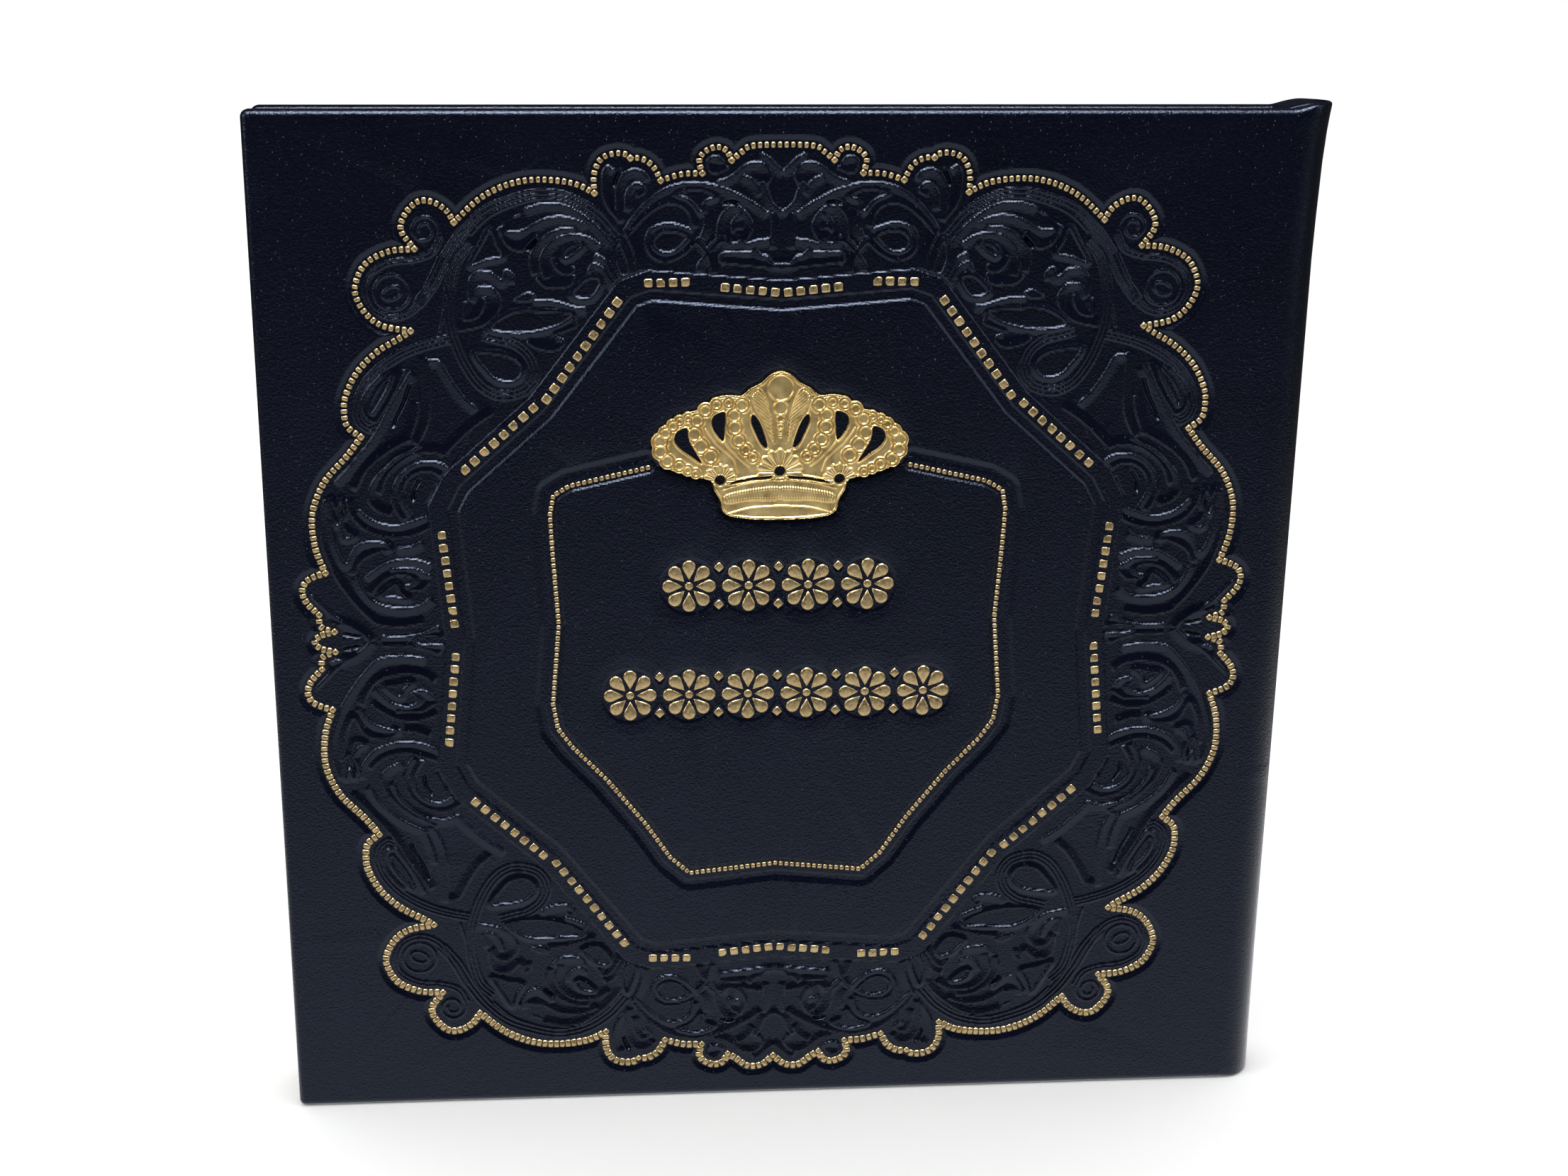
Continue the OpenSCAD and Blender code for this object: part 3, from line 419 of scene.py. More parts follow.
CROWN_WIRES = [
    [(-10.1, 12.6), (-9.3, 11.4), (-8.4, 10.3), (-7.2, 9.3), (-6.2, 8.2), (-5.7, 6.7)],
    [(-7.7, 11), (-7, 10), (-6.2, 9.2), (-5.2, 8.2), (-4.2, 7.4)],
    [(-9, 5), (-8.9, 4.1), (-8.2, 3.2), (-7.7, 2.4)],
    [(-7.7, 4.2), (-5, 5), (-1.3, 5.5), (0, 5.4)],
    [(-6.7, 5.2), (-4, 5.9), (-1.4, 6.2)],
    [(-4.2, 17.2), (-3, 18.1), (-2.2, 17.2), (-1.6, 15.4), (-1, 13), (-0.8, 10.6)],
    [(-1.5, 9.7), (-2.4, 12), (-3.6, 14.4), (-4.2, 16.4)],
]
CROWN_SHELLS = [(0, 6.68, 3.3, 0.7), (-8.1, 5.55, 2.4, 0.66)]
CROWN_SLOT = [(-6.6, 5.0), (-4, 5.5), (-1.3, 5.75), (-1.3, 6.1), (-4, 5.85), (-6.5, 5.3)]
CROWN_FAN = [(-4.05, 17.1), (-2.95, 18), (-2, 16.9), (-1.3, 14.6), (-0.95, 12.4), (-0.95, 10.7), (-1.6, 11.7),
             (-2.4, 13.5), (-3.4, 15.2)]
CROWN_BAND = [(-7.45, 3.6), (-4, 4.4), (0, 4.65), (0, 2.75), (-4, 2.6), (-7.3, 2.25)]
CROWN_LENS = [(-7.2, 0.85), (-4, 1.7), (0, 1.95)]
# Combed areas: outline, angle of the teeth in degrees, their pitch and how far in from the edge they go.
CROWN_COMBS = [
    (CROWN_FAN, 40, 0.34, 9),
    (CROWN_BAND, 90, 0.36, 0.4),
]
CROWN_FLAT = 0.25
CROWN_SEAT = -0.16
CROWN_TOP = 0.62
CROWN_DROP = 0.25
WIRE_W = 0.16
WIRE_H = 0.2
RIM_INSET = 0.22
RIM_H = 0.22
RING_H = 0.24
RING_MARGIN = 0.42
ROW_WIRE_H = 0.17
ROW_MARGIN = 0.36
COMB_H = 0.17
COMB_TOOTH = 0.07
COMB_EDGE = 0.3
COMB_FADE = 0.2
DOT_D = 0.25
DOT_FLAT = 0.4
OPENING_RIM = 0.14
SHELL_PETALS = 7
SHELL_SCALLOP = 0.12
SHELL_LOW = 0.06
SHELL_H = 0.26
SHELL_EDGE = 0.25
SHELL_BANK = 0.3
SHELL_BELOW = 0.3


def rgb(r, g, b):
    """A colour from its screen values of 0 to 255, as linear values."""
    linear = [((c / 255 + 0.055) / 1.055) ** 2.4 if c > 10 else c / 255 / 12.92 for c in (r, g, b)]
    return (*linear, 1.0)


def grey(value):
    """A neutral colour, as linear values."""
    return (value, value, value, 1.0)


def ease(t):
    """A smooth rise from 0 to 1."""
    t = np.clip(t, 0, 1)
    return t * t * (3 - 2 * t)


def fall(t):
    """A smooth drop from 1 to 0."""
    return 1 - ease(t)


def climb(distance, start, width):
    """A smooth rise from 0 to 1 that begins at a distance and takes a width."""
    return ease((distance - start) / width)


def smooth_line(points, step, closed=False):
    """A curve through points, in pieces of about the given length."""
    p = np.array(points, float)
    n = len(p)
    out = []
    for i in range(n if closed else n - 1):
        b, c = p[i], p[(i + 1) % n]
        a = p[i - 1] if closed or i > 0 else 2 * b - c
        d = p[(i + 2) % n] if closed or i < n - 2 else 2 * c - b
        pieces = max(1, int(round(np.hypot(*(c - b)) / step)))
        t = (np.arange(pieces) / pieces)[:, None]
        cubic = (2 * a - 5 * b + 4 * c - d) * t ** 2 + (3 * b - a - 3 * c + d) * t ** 3
        out.append((2 * b + (c - a) * t + cubic) / 2)
    if not closed:
        out.append(p[-1:])
    return np.concatenate(out)


def left_of(line):
    """Unit vectors to the left of a line at its points."""
    along = np.gradient(line, axis=0)
    across = np.stack([-along[:, 1], along[:, 0]], axis=1)
    return across / np.maximum(np.hypot(across[:, 0], across[:, 1]), 1e-9)[:, None]


def oval_line(centre, half, tilt, count=40):
    """An oval round a centre, tilted by degrees; it ends where it begins."""
    a = np.linspace(0, 2 * math.pi, count + 1)
    c, s = math.cos(math.radians(tilt)), math.sin(math.radians(tilt))
    x, z = half[0] * np.cos(a), half[1] * np.sin(a)
    return np.stack([centre[0] + x * c - z * s, centre[1] + x * s + z * c], axis=1)


def spiral_line(centre, first, last, angle, turns):
    """A spiral between two radii, from an angle in degrees."""
    t = np.linspace(0, 1, int(40 * turns))
    a = math.radians(angle) + 2 * math.pi * turns * t
    r = first + (last - first) * t
    return np.stack([centre[0] + r * np.cos(a), centre[1] + r * np.sin(a)], axis=1)


def even_places(line, pitch, first, less):
    """Points and angles at even steps along a line."""
    seg = np.diff(line, axis=0)
    along = np.concatenate([[0], np.cumsum(np.hypot(seg[:, 0], seg[:, 1]))])
    n = max(1, int(round(along[-1] / pitch)))
    d = np.arange(first, n - less + 1) * along[-1] / n
    i = np.clip(np.searchsorted(along, d, side="left") - 1, 0, len(seg) - 1)
    at = line[i] + seg[i] * ((d - along[i]) / np.maximum(along[i + 1] - along[i], 1e-9))[:, None]
    return [(p[0], p[1], math.atan2(s[1], s[0])) for p, s in zip(at, seg[i])]


def mirrored(line, sx, sz):
    """A line scaled by sx and sz, which are 1 or -1."""
    return np.asarray(line, float) * np.array([sx, sz])


class Raster:
    """Heights sampled on an even grid, and triangles that follow them."""

    def __init__(self, low, high, cells, fine):
        self.fine = fine
        self.nx = cells[0] * fine * 2 + 1
        self.nz = cells[1] * fine * 2 + 1
        self.x = np.linspace(low[0], high[0], self.nx)
        self.z = np.linspace(low[1], high[1], self.nz)
        self.step_x = self.x[1] - self.x[0]
        self.step_z = self.z[1] - self.z[0]

    def offsets(self, x, z):
        """Steps in x and in z from a point to the samples."""
        return self.x[None, :] - x, self.z[:, None] - z

    def apart(self, x, z):
        """Distance from a point to the samples."""
        return np.hypot(*self.offsets(x, z))

    def nearest(self, x, z):
        """Rows and columns of the samples nearest to places."""
        r = np.rint((z - self.z[0]) / self.step_z).astype(int).clip(0, self.nz - 1)
        c = np.rint((x - self.x[0]) / self.step_x).astype(int).clip(0, self.nx - 1)
        return r, c

    def slopes(self, height):
        """Slopes of a height along z and along x."""
        return np.gradient(height, self.step_z, self.step_x)

    def distance(self, line, reach):
        """Distance to a line, the side on which it lies and how far past the line's ends, within reach."""
        dist = np.full((self.nz, self.nx), 1e3)
        side = np.ones((self.nz, self.nx))
        past = np.zeros((self.nz, self.nx))
        for k, (a, b) in enumerate(zip(line[:-1], line[1:])):
            d = b - a
            length2 = d @ d
            if length2 < 1e-10:
                continue
            lo, hi = np.minimum(a, b) - reach, np.maximum(a, b) + reach
            i0, i1 = np.searchsorted(self.x, (lo[0], hi[0]))
            j0, j1 = np.searchsorted(self.z, (lo[1], hi[1]))
            if i0 >= i1 or j0 >= j1:
                continue
            px = self.x[i0:i1][None, :] - a[0]
            pz = self.z[j0:j1][:, None] - a[1]
            along = (px * d[0] + pz * d[1]) / length2
            t = np.clip(along, 0, 1)
            near = np.hypot(px - t * d[0], pz - t * d[1])
            before = -along if k == 0 else 0
            after = along - 1 if k == len(line) - 2 else 0
            over = np.maximum(before, after) * math.sqrt(length2)
            part = dist[j0:j1, i0:i1]
            closer = near < part
            part[closer] = near[closer]
            side[j0:j1, i0:i1][closer] = np.where(d[0] * pz - d[1] * px > 0, 1.0, -1.0)[closer]
            past[j0:j1, i0:i1][closer] = np.broadcast_to(over, near.shape)[closer]
        return dist, side, past

    def near(self, line, reach):
        """Distance to a line, within reach."""
        return self.distance(line, reach)[0]

    def inside(self, outline):
        """True at the samples inside a closed outline."""
        hit = np.zeros((self.nz, self.nx), bool)
        for a, b in zip(outline, np.roll(outline, -1, axis=0)):
            if a[1] == b[1]:
                continue
            rows = (self.z >= min(a[1], b[1])) & (self.z < max(a[1], b[1]))
            cross = a[0] + (self.z[rows] - a[1]) * (b[0] - a[0]) / (b[1] - a[1])
            hit[rows] ^= self.x[None, :] < cross[:, None]
        return hit

    def around(self, points, step, reach):
        """Distance to a smooth closed outline through points, within reach, and True inside it."""
        outline = smooth_line(points, step, closed=True)
        return self.near(np.concatenate([outline, outline[:1]]), reach), self.inside(outline)

    def triangles(self, fields):
        """Triangles between samples, small only where a field needs it, as (row, column) corners."""
        split, size = [], 2
        while size <= 2 * self.fine:
            rows, cols = (self.nz - 1) // size, (self.nx - 1) // size
            worst = np.zeros((rows, cols))
            hop = max(1, size // 8)
            for field, tolerance in fields if size > 2 else ():
                c00, c01 = field[:-1:size, :-1:size], field[:-1:size, size::size]
                c10, c11 = field[size::size, :-1:size], field[size::size, size::size]
                for a in range(0, size + 1, hop):
                    for b in range(0, size + 1, hop):
                        ta, tb = a / size, b / size
                        flat = (c00 * (1 - tb) + c01 * tb) * (1 - ta) + (c10 * (1 - tb) + c11 * tb) * ta
                        real = field[a:self.nz - size + a:size, b:self.nx - size + b:size]
                        worst = np.maximum(worst, np.abs(real - flat) / tolerance)
            split.append(worst > 1)
            size *= 2
        for level in split[1:]:
            level[0] = True
        for k in range(1, len(split) - 1):
            s = split[k]
            wide = s.copy()
            wide[1:] |= s[:-1]
            wide[:-1] |= s[1:]
            wide[:, 1:] |= s[:, :-1]
            wide[:, :-1] |= s[:, 1:]
            r, c = split[k + 1].shape
            split[k + 1] |= wide.reshape(r, 2, c, 2).any(axis=(1, 3))
        faces = []
        exists = np.ones(split[-1].shape, bool)
        for k in range(len(split) - 1, -1, -1):
            size = 2 << k
            half = size // 2
            finer = np.pad(split[k] & exists, 1)
            for r, c in zip(*np.nonzero(exists & ~split[k])):
                z0, x0, z1, x1 = r * size, c * size, (r + 1) * size, (c + 1) * size
                corners = ((z0, x0), (z0, x1), (z1, x1), (z1, x0))
                sides = (finer[r, c + 1], finer[r + 1, c + 2], finer[r + 2, c + 1], finer[r + 1, c])
                if not any(sides):
                    faces += [corners[:3], (corners[0], corners[2], corners[3])]
                    continue
                middles = ((z0, x0 + half), (z0 + half, x1), (z1, x0 + half), (z0 + half, x0))
                ring = []
                for corner, middle, divided in zip(corners, middles, sides):
                    ring += [corner, middle] if divided else [corner]
                faces += [((z0 + half, x0 + half), p, q) for p, q in zip(ring, ring[1:] + ring[:1])]
            if k:
                exists = np.repeat(np.repeat(split[k] & exists, 2, axis=0), 2, axis=1)
        return faces


# One quarter of the front face, from the fore edge to the ornament's middle.
FACE_W = FACE_END_X - ORNAMENT_X
FACE_H = CASE_H / 2 - EDGE_R
QUARTER = Raster((-FACE_W, 0), (0, FACE_H), (21, 22), 16)
# One half of the crown.
CROWN = Raster((-17.9, -0.5), (0, 20.9), (20, 24), 16)


def border_lines(end):
    """The border's lobes over the whole head (1) or tail (-1) half."""
    lines = [mirrored(smooth_line(lobe, BORDER_STEP), sx, end) for lobe in QUARTER_LOBES for sx in (1, -1)]
    if end > 0:
        lines.append(smooth_line(HEAD_LOBE, BORDER_STEP))
    else:
        lines += [mirrored(smooth_line(TAIL_LOBE, BORDER_STEP), sx, -1) for sx in (1, -1)]
    return lines


def quarter_border(end):
    """The border over one quarter of the head (1) or tail (-1) half, drawn as the fore-edge head quarter."""
    side = smooth_line(SIDE_LOBE, BORDER_STEP)
    parts = [side[side[:, 1] >= 0]] + [smooth_line(lobe, BORDER_STEP) for lobe in QUARTER_LOBES]
    parts.append(smooth_line(HEAD_LOBE if end > 0 else TAIL_LOBE, BORDER_STEP))
    return mirrored(np.concatenate(parts), -1, 1)


def rosette_places():
    """Middles of the rosettes, and whether another one follows in the row."""
    for height, count in zip(ROW_HEIGHTS, ROW_COUNTS):
        for k in range(count):
            yield (k - (count - 1) / 2) * ROSETTE_PITCH, height, k < count - 1


def scroll_relief():
    """Height of the scrollwork above its ground, over one quarter."""
    rise = np.zeros((QUARTER.nz, QUARTER.nx))
    for raised, points in STEPS:
        dist, side, past = QUARTER.distance(smooth_line(points, SCROLL_STEP), STEP_REACH)
        s = dist * side * raised
        bank = ease((s + STEP_EDGE / 2) / STEP_EDGE) * fall(s / STEP_REACH) * fall(past / STEP_END)
        rise = np.maximum(rise, STEP_H * bank)
    ridges = [oval_line(*oval) for oval in OVALS] + [spiral_line(*spiral) for spiral in SPIRALS]
    for points, offsets in RIBBONS:
        line = smooth_line(points, SCROLL_STEP)
        ridges += [line + offset * left_of(line) for offset in offsets]
    for line in ridges:
        rise = np.maximum(rise, RIDGE_H * fall(QUARTER.near(line, 1) / RIDGE_W))
    for points in PADS:
        dist, within = QUARTER.around(points, SCROLL_STEP, 2)
        rise = np.maximum(rise, STEP_H * ease(dist / PAD_EDGE) * within)
    for points in PITS:
        dist, within = QUARTER.around(points, SCROLL_STEP, 2)
        lip = np.maximum(rise, STEP_H * fall(dist / PIT_LIP))
        rise = np.where(within, STEP_H - (STEP_H + PIT_D) * ease(dist / PIT_EDGE), lip)
    for points in SLITS:
        rise = rise - SLIT_D * fall(QUARTER.near(smooth_line(points, SCROLL_STEP), 1) / SLIT_W)
    return rise


def past_middle(line):
    """A quarter's line closed beyond the ornament's middle, as an outline."""
    return np.concatenate([line, [(PAST_MIDDLE, line[-1][1]), (PAST_MIDDLE, 0)]])


def face_height(end, scrolls):
    """Height of the front cover's face over one quarter of the head (1) or tail (-1) half."""
    border = quarter_border(end)
    within = QUARTER.inside(past_middle(border))
    from_border = QUARTER.near(border, 4)
    frame_line = mirrored(FRAME_CORNERS, -1, 1)
    in_frame = QUARTER.inside(past_middle(frame_line))
    from_frame = QUARTER.near(frame_line, 6)
    panel = mirrored(PANEL_POINTS, -1, end)
    in_panel = QUARTER.inside(np.concatenate([panel, mirrored(panel[::-1], -1, 1)]))
    from_panel = QUARTER.near(panel, 6)

    height = np.where(within, GROUND, GROUND * (1 - climb(from_border, *BORDER_SLOPE)))
    outside = np.where(in_frame, 0, climb(from_frame, *FRAME_SLOPE))
    clear = climb(from_border, *SCROLL_SLOPE) * within * outside
    height = height + scrolls * clear
    strip = 1 - climb(from_frame, np.where(in_frame, STRIP_IN, STRIP_OUT), STRIP_SLOPE)
    height = height + STRIP_RISE * strip * within
    field = climb(from_frame, *FIELD_SLOPE) * in_frame
    height = height * (1 - field)
    lip = PANEL_LIP_H * (1 - climb(from_panel, *PANEL_LIP_SLOPE))
    inner = GROUND * (1 - climb(from_panel, *PANEL_IN_SLOPE))
    outer = (GROUND + lip) * (1 - climb(from_panel, *PANEL_OUT_SLOPE))
    height = np.where(field > FIELD_FULL, np.where(in_panel, inner, outer), height)

    crown = mirrored(crown_outline() + np.array([0, CROWN_FOOT]), 1, end)
    in_crown, from_crown = QUARTER.inside(crown), QUARTER.near(crown, 2.5)
    seat = np.where(in_crown, 1, fall(from_crown / SEAT_SLOPE))
    height = height * (1 - seat) + CROWN_SEAT * seat
    share, width = CROWN_PRESS
    pressed = share * fall(from_crown / width) * ~in_crown
    for x, z, followed in rosette_places():
        dx, dz = QUARTER.offsets(x, z * end)
        apart = np.hypot(dx, dz) - ROSETTE_D / 2
        halo = sum(share * fall(apart / width) for share, width in ROSETTE_PRESS)
        pressed = np.maximum(pressed, halo)
        if followed:
            apart = np.hypot(dx - ROSETTE_PITCH / 2, np.abs(dz) - LOZENGE_Z) - LOZENGE / 2
            pressed = np.maximum(pressed, fall(apart / LOZENGE_PRESS_W))
    return height - PRESS_D * pressed


def crown_outline():
    """The crown's whole outline, from its foot up the left side and down the right."""
    half = smooth_line(CROWN_OUTLINE, BORDER_STEP)
    return np.concatenate([mirrored(half[::-1], -1, 1), half[1:]])


def crown_height():
    """Height of the crown over its left half; it drops below the cover outside and in its openings."""
    outline = crown_outline()
    edge = CROWN.near(outline, 2)
    solid = CROWN.inside(outline)
    for x, z, r in CROWN_RINGS:
        solid |= CROWN.apart(x, z) < r + RING_MARGIN
    rise = np.zeros_like(edge)
    for line in [outline] + [smooth_line(wire, WIRE_STEP) for wire in CROWN_WIRES]:
        rise = np.maximum(rise, WIRE_H * fall(CROWN.near(line, 1) / WIRE_W))
    rise = np.maximum(rise, WIRE_H * fall(np.abs(edge - RIM_INSET) / WIRE_W) * solid)
    for row in CROWN_ROWS:
        round_row = np.min([CROWN.apart(x, z) - r for x, z, r in row], axis=0)
        rise = np.where(round_row < ROW_MARGIN, 0.0, rise)
        rise = np.maximum(rise, ROW_WIRE_H * fall(np.abs(round_row - ROW_MARGIN) / WIRE_W))
    for area, angle, pitch, depth in CROWN_COMBS:
        near, within = CROWN.around(area, SCROLL_STEP, 1.5)
        a = math.radians(angle)
        phase = (CROWN.x[None, :] * math.sin(a) + CROWN.z[:, None] * math.cos(a)) * 2 * math.pi / pitch
        teeth = COMB_TOOTH * np.cos(phase) * fall((near - depth) / COMB_FADE)
        rise = np.maximum(rise, (COMB_H + teeth) * ease(near / COMB_EDGE) * within)
    rise = np.maximum(rise, RIM_H * fall(CROWN.near(smooth_line(CROWN_LENS, SCROLL_STEP), 1) / WIRE_W))
    for x, z, r in CROWN_RINGS:
        apart = CROWN.apart(x, z)
        rise = np.where(apart < r + WIRE_W, RING_H * fall(np.abs(apart - r) / WIRE_W), rise)
    x, z, r = CROWN_DOT
    rise = rise - DOT_D * fall(CROWN.apart(x, z) / r - DOT_FLAT)
    for x, z, r, hole in CROWN_SHELLS:
        dx, dz = CROWN.offsets(x, z)
        apart = np.hypot(dx, dz)
        petal = np.abs(np.cos(np.arctan2(dx, dz) * SHELL_PETALS))
        reach = r * (1 - SHELL_SCALLOP + SHELL_SCALLOP * petal)
        bank = ease((reach - apart) / SHELL_EDGE) * ease((apart - hole) / SHELL_BANK)
        fan = (SHELL_LOW + SHELL_H * np.sqrt(petal)) * bank
        rise = np.where((apart < reach) & (dz > -SHELL_BELOW * r), fan, rise)
        rise = np.maximum(rise, SHELL_H * fall(np.abs(apart - hole - WIRE_W) / WIRE_W))
        solid &= apart > hole
    for opening in CROWN_OPENINGS + [CROWN_SLOT]:
        near, within = CROWN.around(opening, WIRE_STEP, 1)
        rise = np.maximum(rise, RIM_H * fall(np.abs(near - OPENING_RIM) / WIRE_W) * ~within)
        solid &= ~within
    return np.where(solid, np.minimum(CROWN_FLAT + rise, CROWN_TOP), GROUND - CROWN_DROP)


class MeshParts:
    """Points and faces gathered into one mesh, in millimetres."""

    def __init__(self):
        self.points = []
        self.faces = []
        self.normals = {}

    def add(self, points, faces, normals=None):
        """Adds a surface; normals may give a direction for each corner of each face."""
        base = len(self.points)
        if normals is not None:
            self.normals.update({len(self.faces) + k: n for k, n in enumerate(normals)})
        self.points += [tuple(p) for p in points]
        self.faces += [tuple(i + base for i in f) for f in faces]

    def grid(self, rows, closed=False, flip=False):
        """A sheet of quads through rows of points of equal count."""
        count = len(rows[0])
        faces = []
        for r in range(len(rows) - 1):
            for c in range(count if closed else count - 1):
                n = (c + 1) % count
                quad = (r * count + c, r * count + n, (r + 1) * count + n, (r + 1) * count + c)
                faces.append(quad[::-1] if flip else quad)
        self.add([p for row in rows for p in row], faces)

    def build(self, name, material, smooth=True):
        """Makes the mesh object, in metres."""
        mesh = bpy.data.meshes.new(name)
        mesh.from_pydata([(x * MM, y * MM, z * MM) for x, y, z in self.points], [], self.faces)
        mesh.materials.append(material)
        if smooth:
            mesh.shade_smooth()
        mesh.update()
        if self.normals:
            corners = []
            for k, face in enumerate(mesh.polygons):
                corners += self.normals.get(k) or [mesh.vertices[i].normal for i in face.vertices]
            mesh.normals_split_custom_set(corners)
        obj = bpy.data.objects.new(name, mesh)
        bpy.context.scene.collection.objects.link(obj)
        return obj


def unit(v):
    """Vectors of length 1 along the last axis."""
    return v / np.maximum(np.linalg.norm(v, axis=-1, keepdims=True), 1e-12)


def relief_normals(points, faces, lean, margin):
    """Corner directions of a relief's triangles: the relief's own, or the face's if that fits far better."""
    p = np.array(points)
    f = np.array(faces)
    corner = lean(p[:, 0], p[:, 2])[f]
    flat = unit(np.cross(p[f[:, 1]] - p[f[:, 0]], p[f[:, 2]] - p[f[:, 0]]))
    middle = p[f].mean(axis=1)
    true = lean(middle[:, 0], middle[:, 2])
    smooth_miss = np.linalg.norm(unit(corner.mean(axis=1)) - true, axis=1)
    flat_miss = np.linalg.norm(flat - true, axis=1)
    use_flat = flat_miss + margin < smooth_miss
    corner[use_flat] = flat[use_flat][:, None, :]
    return [[tuple(n) for n in three] for three in corner]


class Look:
    """A node tree that is filled node by node; outputs are handed on as they are made."""

    def __init__(self, owner, shader):
        owner.use_nodes = True
        self.tree = owner.node_tree
        self.shader = self.tree.nodes[shader]

    def fill(self, made, values):
        """Sets a node's inputs and settings; an output given for an input is joined to it."""
        for key, value in values.items():
            if key not in made.inputs:
                setattr(made, key, value)
            elif isinstance(value, bpy.types.NodeSocket):
                self.tree.links.new(value, made.inputs[key])
            else:
                made.inputs[key].default_value = value
        return made

    def node(self, kind, **values):
        """A shader node with some of its inputs and settings."""
        return self.fill(self.tree.nodes.new("ShaderNode" + kind), values)

    def texture(self, kind, stretch=(1, 1, 1), **values):
        """The outputs of a texture in the object's own metres, stretched along its axes."""
        place = self.node("TexCoord").outputs["Object"]
        moved = self.node("Mapping", Vector=place, Scale=stretch).outputs["Vector"]
        return self.node("Tex" + kind, Vector=moved, **values).outputs

    def ramp(self, value, stops):
        """Colours between stops, each a place and a colour."""
        made = self.node("ValToRGB", Fac=value)
        elements = made.color_ramp.elements
        while len(elements) < len(stops):
            elements.new(0.5)
        for element, (at, colour) in zip(elements, stops):
            element.position = at
            element.color = colour
        return made.outputs["Color"]

    def product(self, first, second):
        """The product of two outputs."""
        made = self.node("Math", operation="MULTIPLY")
        self.tree.links.new(first, made.inputs[0])
        self.tree.links.new(second, made.inputs[1])
        return made.outputs["Value"]

    def bump(self, height, strength, distance, **before):
        """A surface that a height makes uneven, on top of the one before it."""
        made = self.node("Bump", Height=height, Strength=strength, Distance=distance, **before)
        return made.outputs["Normal"]


def surface(name):
    """A new material, and its look."""
    material = bpy.data.materials.new(name)
    return material, Look(material, "Principled BSDF")


def leather_material():
    """Dark blue bonded leather: fine pebble grain, tiny pimples, some creases and a soft shine."""
    material, look = surface("dark_leather")
    tone = look.texture("Noise", Scale=90.0, Detail=4.0, Roughness=0.6)["Fac"]
    pebble = look.texture("Voronoi", Scale=3600.0)["Distance"]
    grain = look.texture("Noise", Scale=2600.0, Detail=5.0, Roughness=0.65)["Fac"]
    crease = look.texture("Noise", (360, 360, 2200), Scale=1.0, Detail=3.0, Roughness=0.6)["Fac"]
    where = look.texture("Noise", (14, 14, 55), Scale=1.0, Detail=2.0)["Fac"]
    sparse = look.product(crease, look.ramp(where, [(0.63, grey(0)), (0.75, grey(1))]))
    dots = look.texture("Voronoi", Scale=1300.0)
    cone = look.ramp(dots["Distance"], [(0.0, grey(1)), (0.12, grey(0))])
    pimple = look.product(cone, look.ramp(dots["Color"], [(0.42, grey(0)), (0.62, grey(1))]))
    normal = look.bump(pebble, 0.24, 0.0001)
    normal = look.bump(grain, 0.45, 0.00012, Normal=normal)
    normal = look.bump(sparse, 0.5, 0.0004, Normal=normal)
    normal = look.bump(pimple, 0.9, 0.00009, Normal=normal)
    look.fill(look.shader, {
        "Base Color": look.ramp(tone, [(0.3, rgb(1, 2, 9)), (0.75, rgb(3, 4, 13))]),
        "Normal": normal,
        "Roughness": look.ramp(grain, [(0.35, grey(0.17)), (0.7, grey(0.27))]),
        "Specular IOR Level": 0.35,
        "Specular Tint": (0.63, 0.74, 1.0, 1.0),
    })
    return material


def gold_material(name, low, high, mottle, depth, metal):
    """Gold foil or stamped gold: warm colour changes, mottled shine and a fine uneven surface."""
    material, look = surface(name)
    tone = look.texture("Noise", Scale=mottle, Detail=4.0, Roughness=0.6)["Fac"]
    fine = look.texture("Noise", Scale=mottle * 2.2, Detail=3.0)["Fac"]
    look.fill(look.shader, {
        "Base Color": look.ramp(tone, [(0.3, low), (0.7, high)]),
        "Normal": look.bump(fine, 0.35, depth),
        "Roughness": look.ramp(tone, [(0.3, grey(GOLD_ROUGH * 0.75)), (0.7, grey(GOLD_ROUGH * 1.35))]),
        "Metallic": metal,
    })
    return material


def paper_material(name, low, high, layered):
    """Paper with faint fibres, and fine layers across the book's thickness where it is layered."""
    material, look = surface(name)
    fibre = look.texture("Noise", (300, 300, 900), Scale=1.0, Detail=5.0, Roughness=0.7)["Fac"]
    normal = look.bump(fibre, 0.2, 0.00005)
    if layered:
        leaves = look.texture("Noise", (30, 9000, 30), Scale=1.0, Detail=2.0)["Fac"]
        normal = look.bump(leaves, 0.4, 0.0001, Normal=normal)
    colour = look.ramp(fibre, [(0.3, low), (0.7, high)])
    look.fill(look.shader, {"Base Color": colour, "Normal": normal, "Roughness": 0.85})
    return material


def cloth_material(name, low, high, pitch):
    """Plain woven cloth: crossed threads in colour and bump."""
    material, look = surface(name)
    warp = look.texture("Wave", Scale=pitch, Distortion=0.6, bands_direction="Z")["Fac"]
    weft = look.texture("Wave", Scale=pitch, Distortion=0.6, bands_direction="Y")["Fac"]
    both = look.product(warp, weft)
    colour = look.ramp(both, [(0.0, low), (0.6, high)])
    look.fill(look.shader, {"Base Color": colour, "Normal": look.bump(both, 0.6, 0.0001), "Roughness": 0.9})
    return material


def floor_material():
    """Pale matt floor, very faintly uneven in tone."""
    material, look = surface("pale_floor")
    tone = look.texture("Noise", Scale=3.0, Detail=2.0)["Fac"]
    colour = look.ramp(tone, [(0.3, grey(0.78)), (0.7, grey(0.8))])
    look.fill(look.shader, {"Base Color": colour, "Roughness": 0.9, "Specular IOR Level": 0.0})
    return material


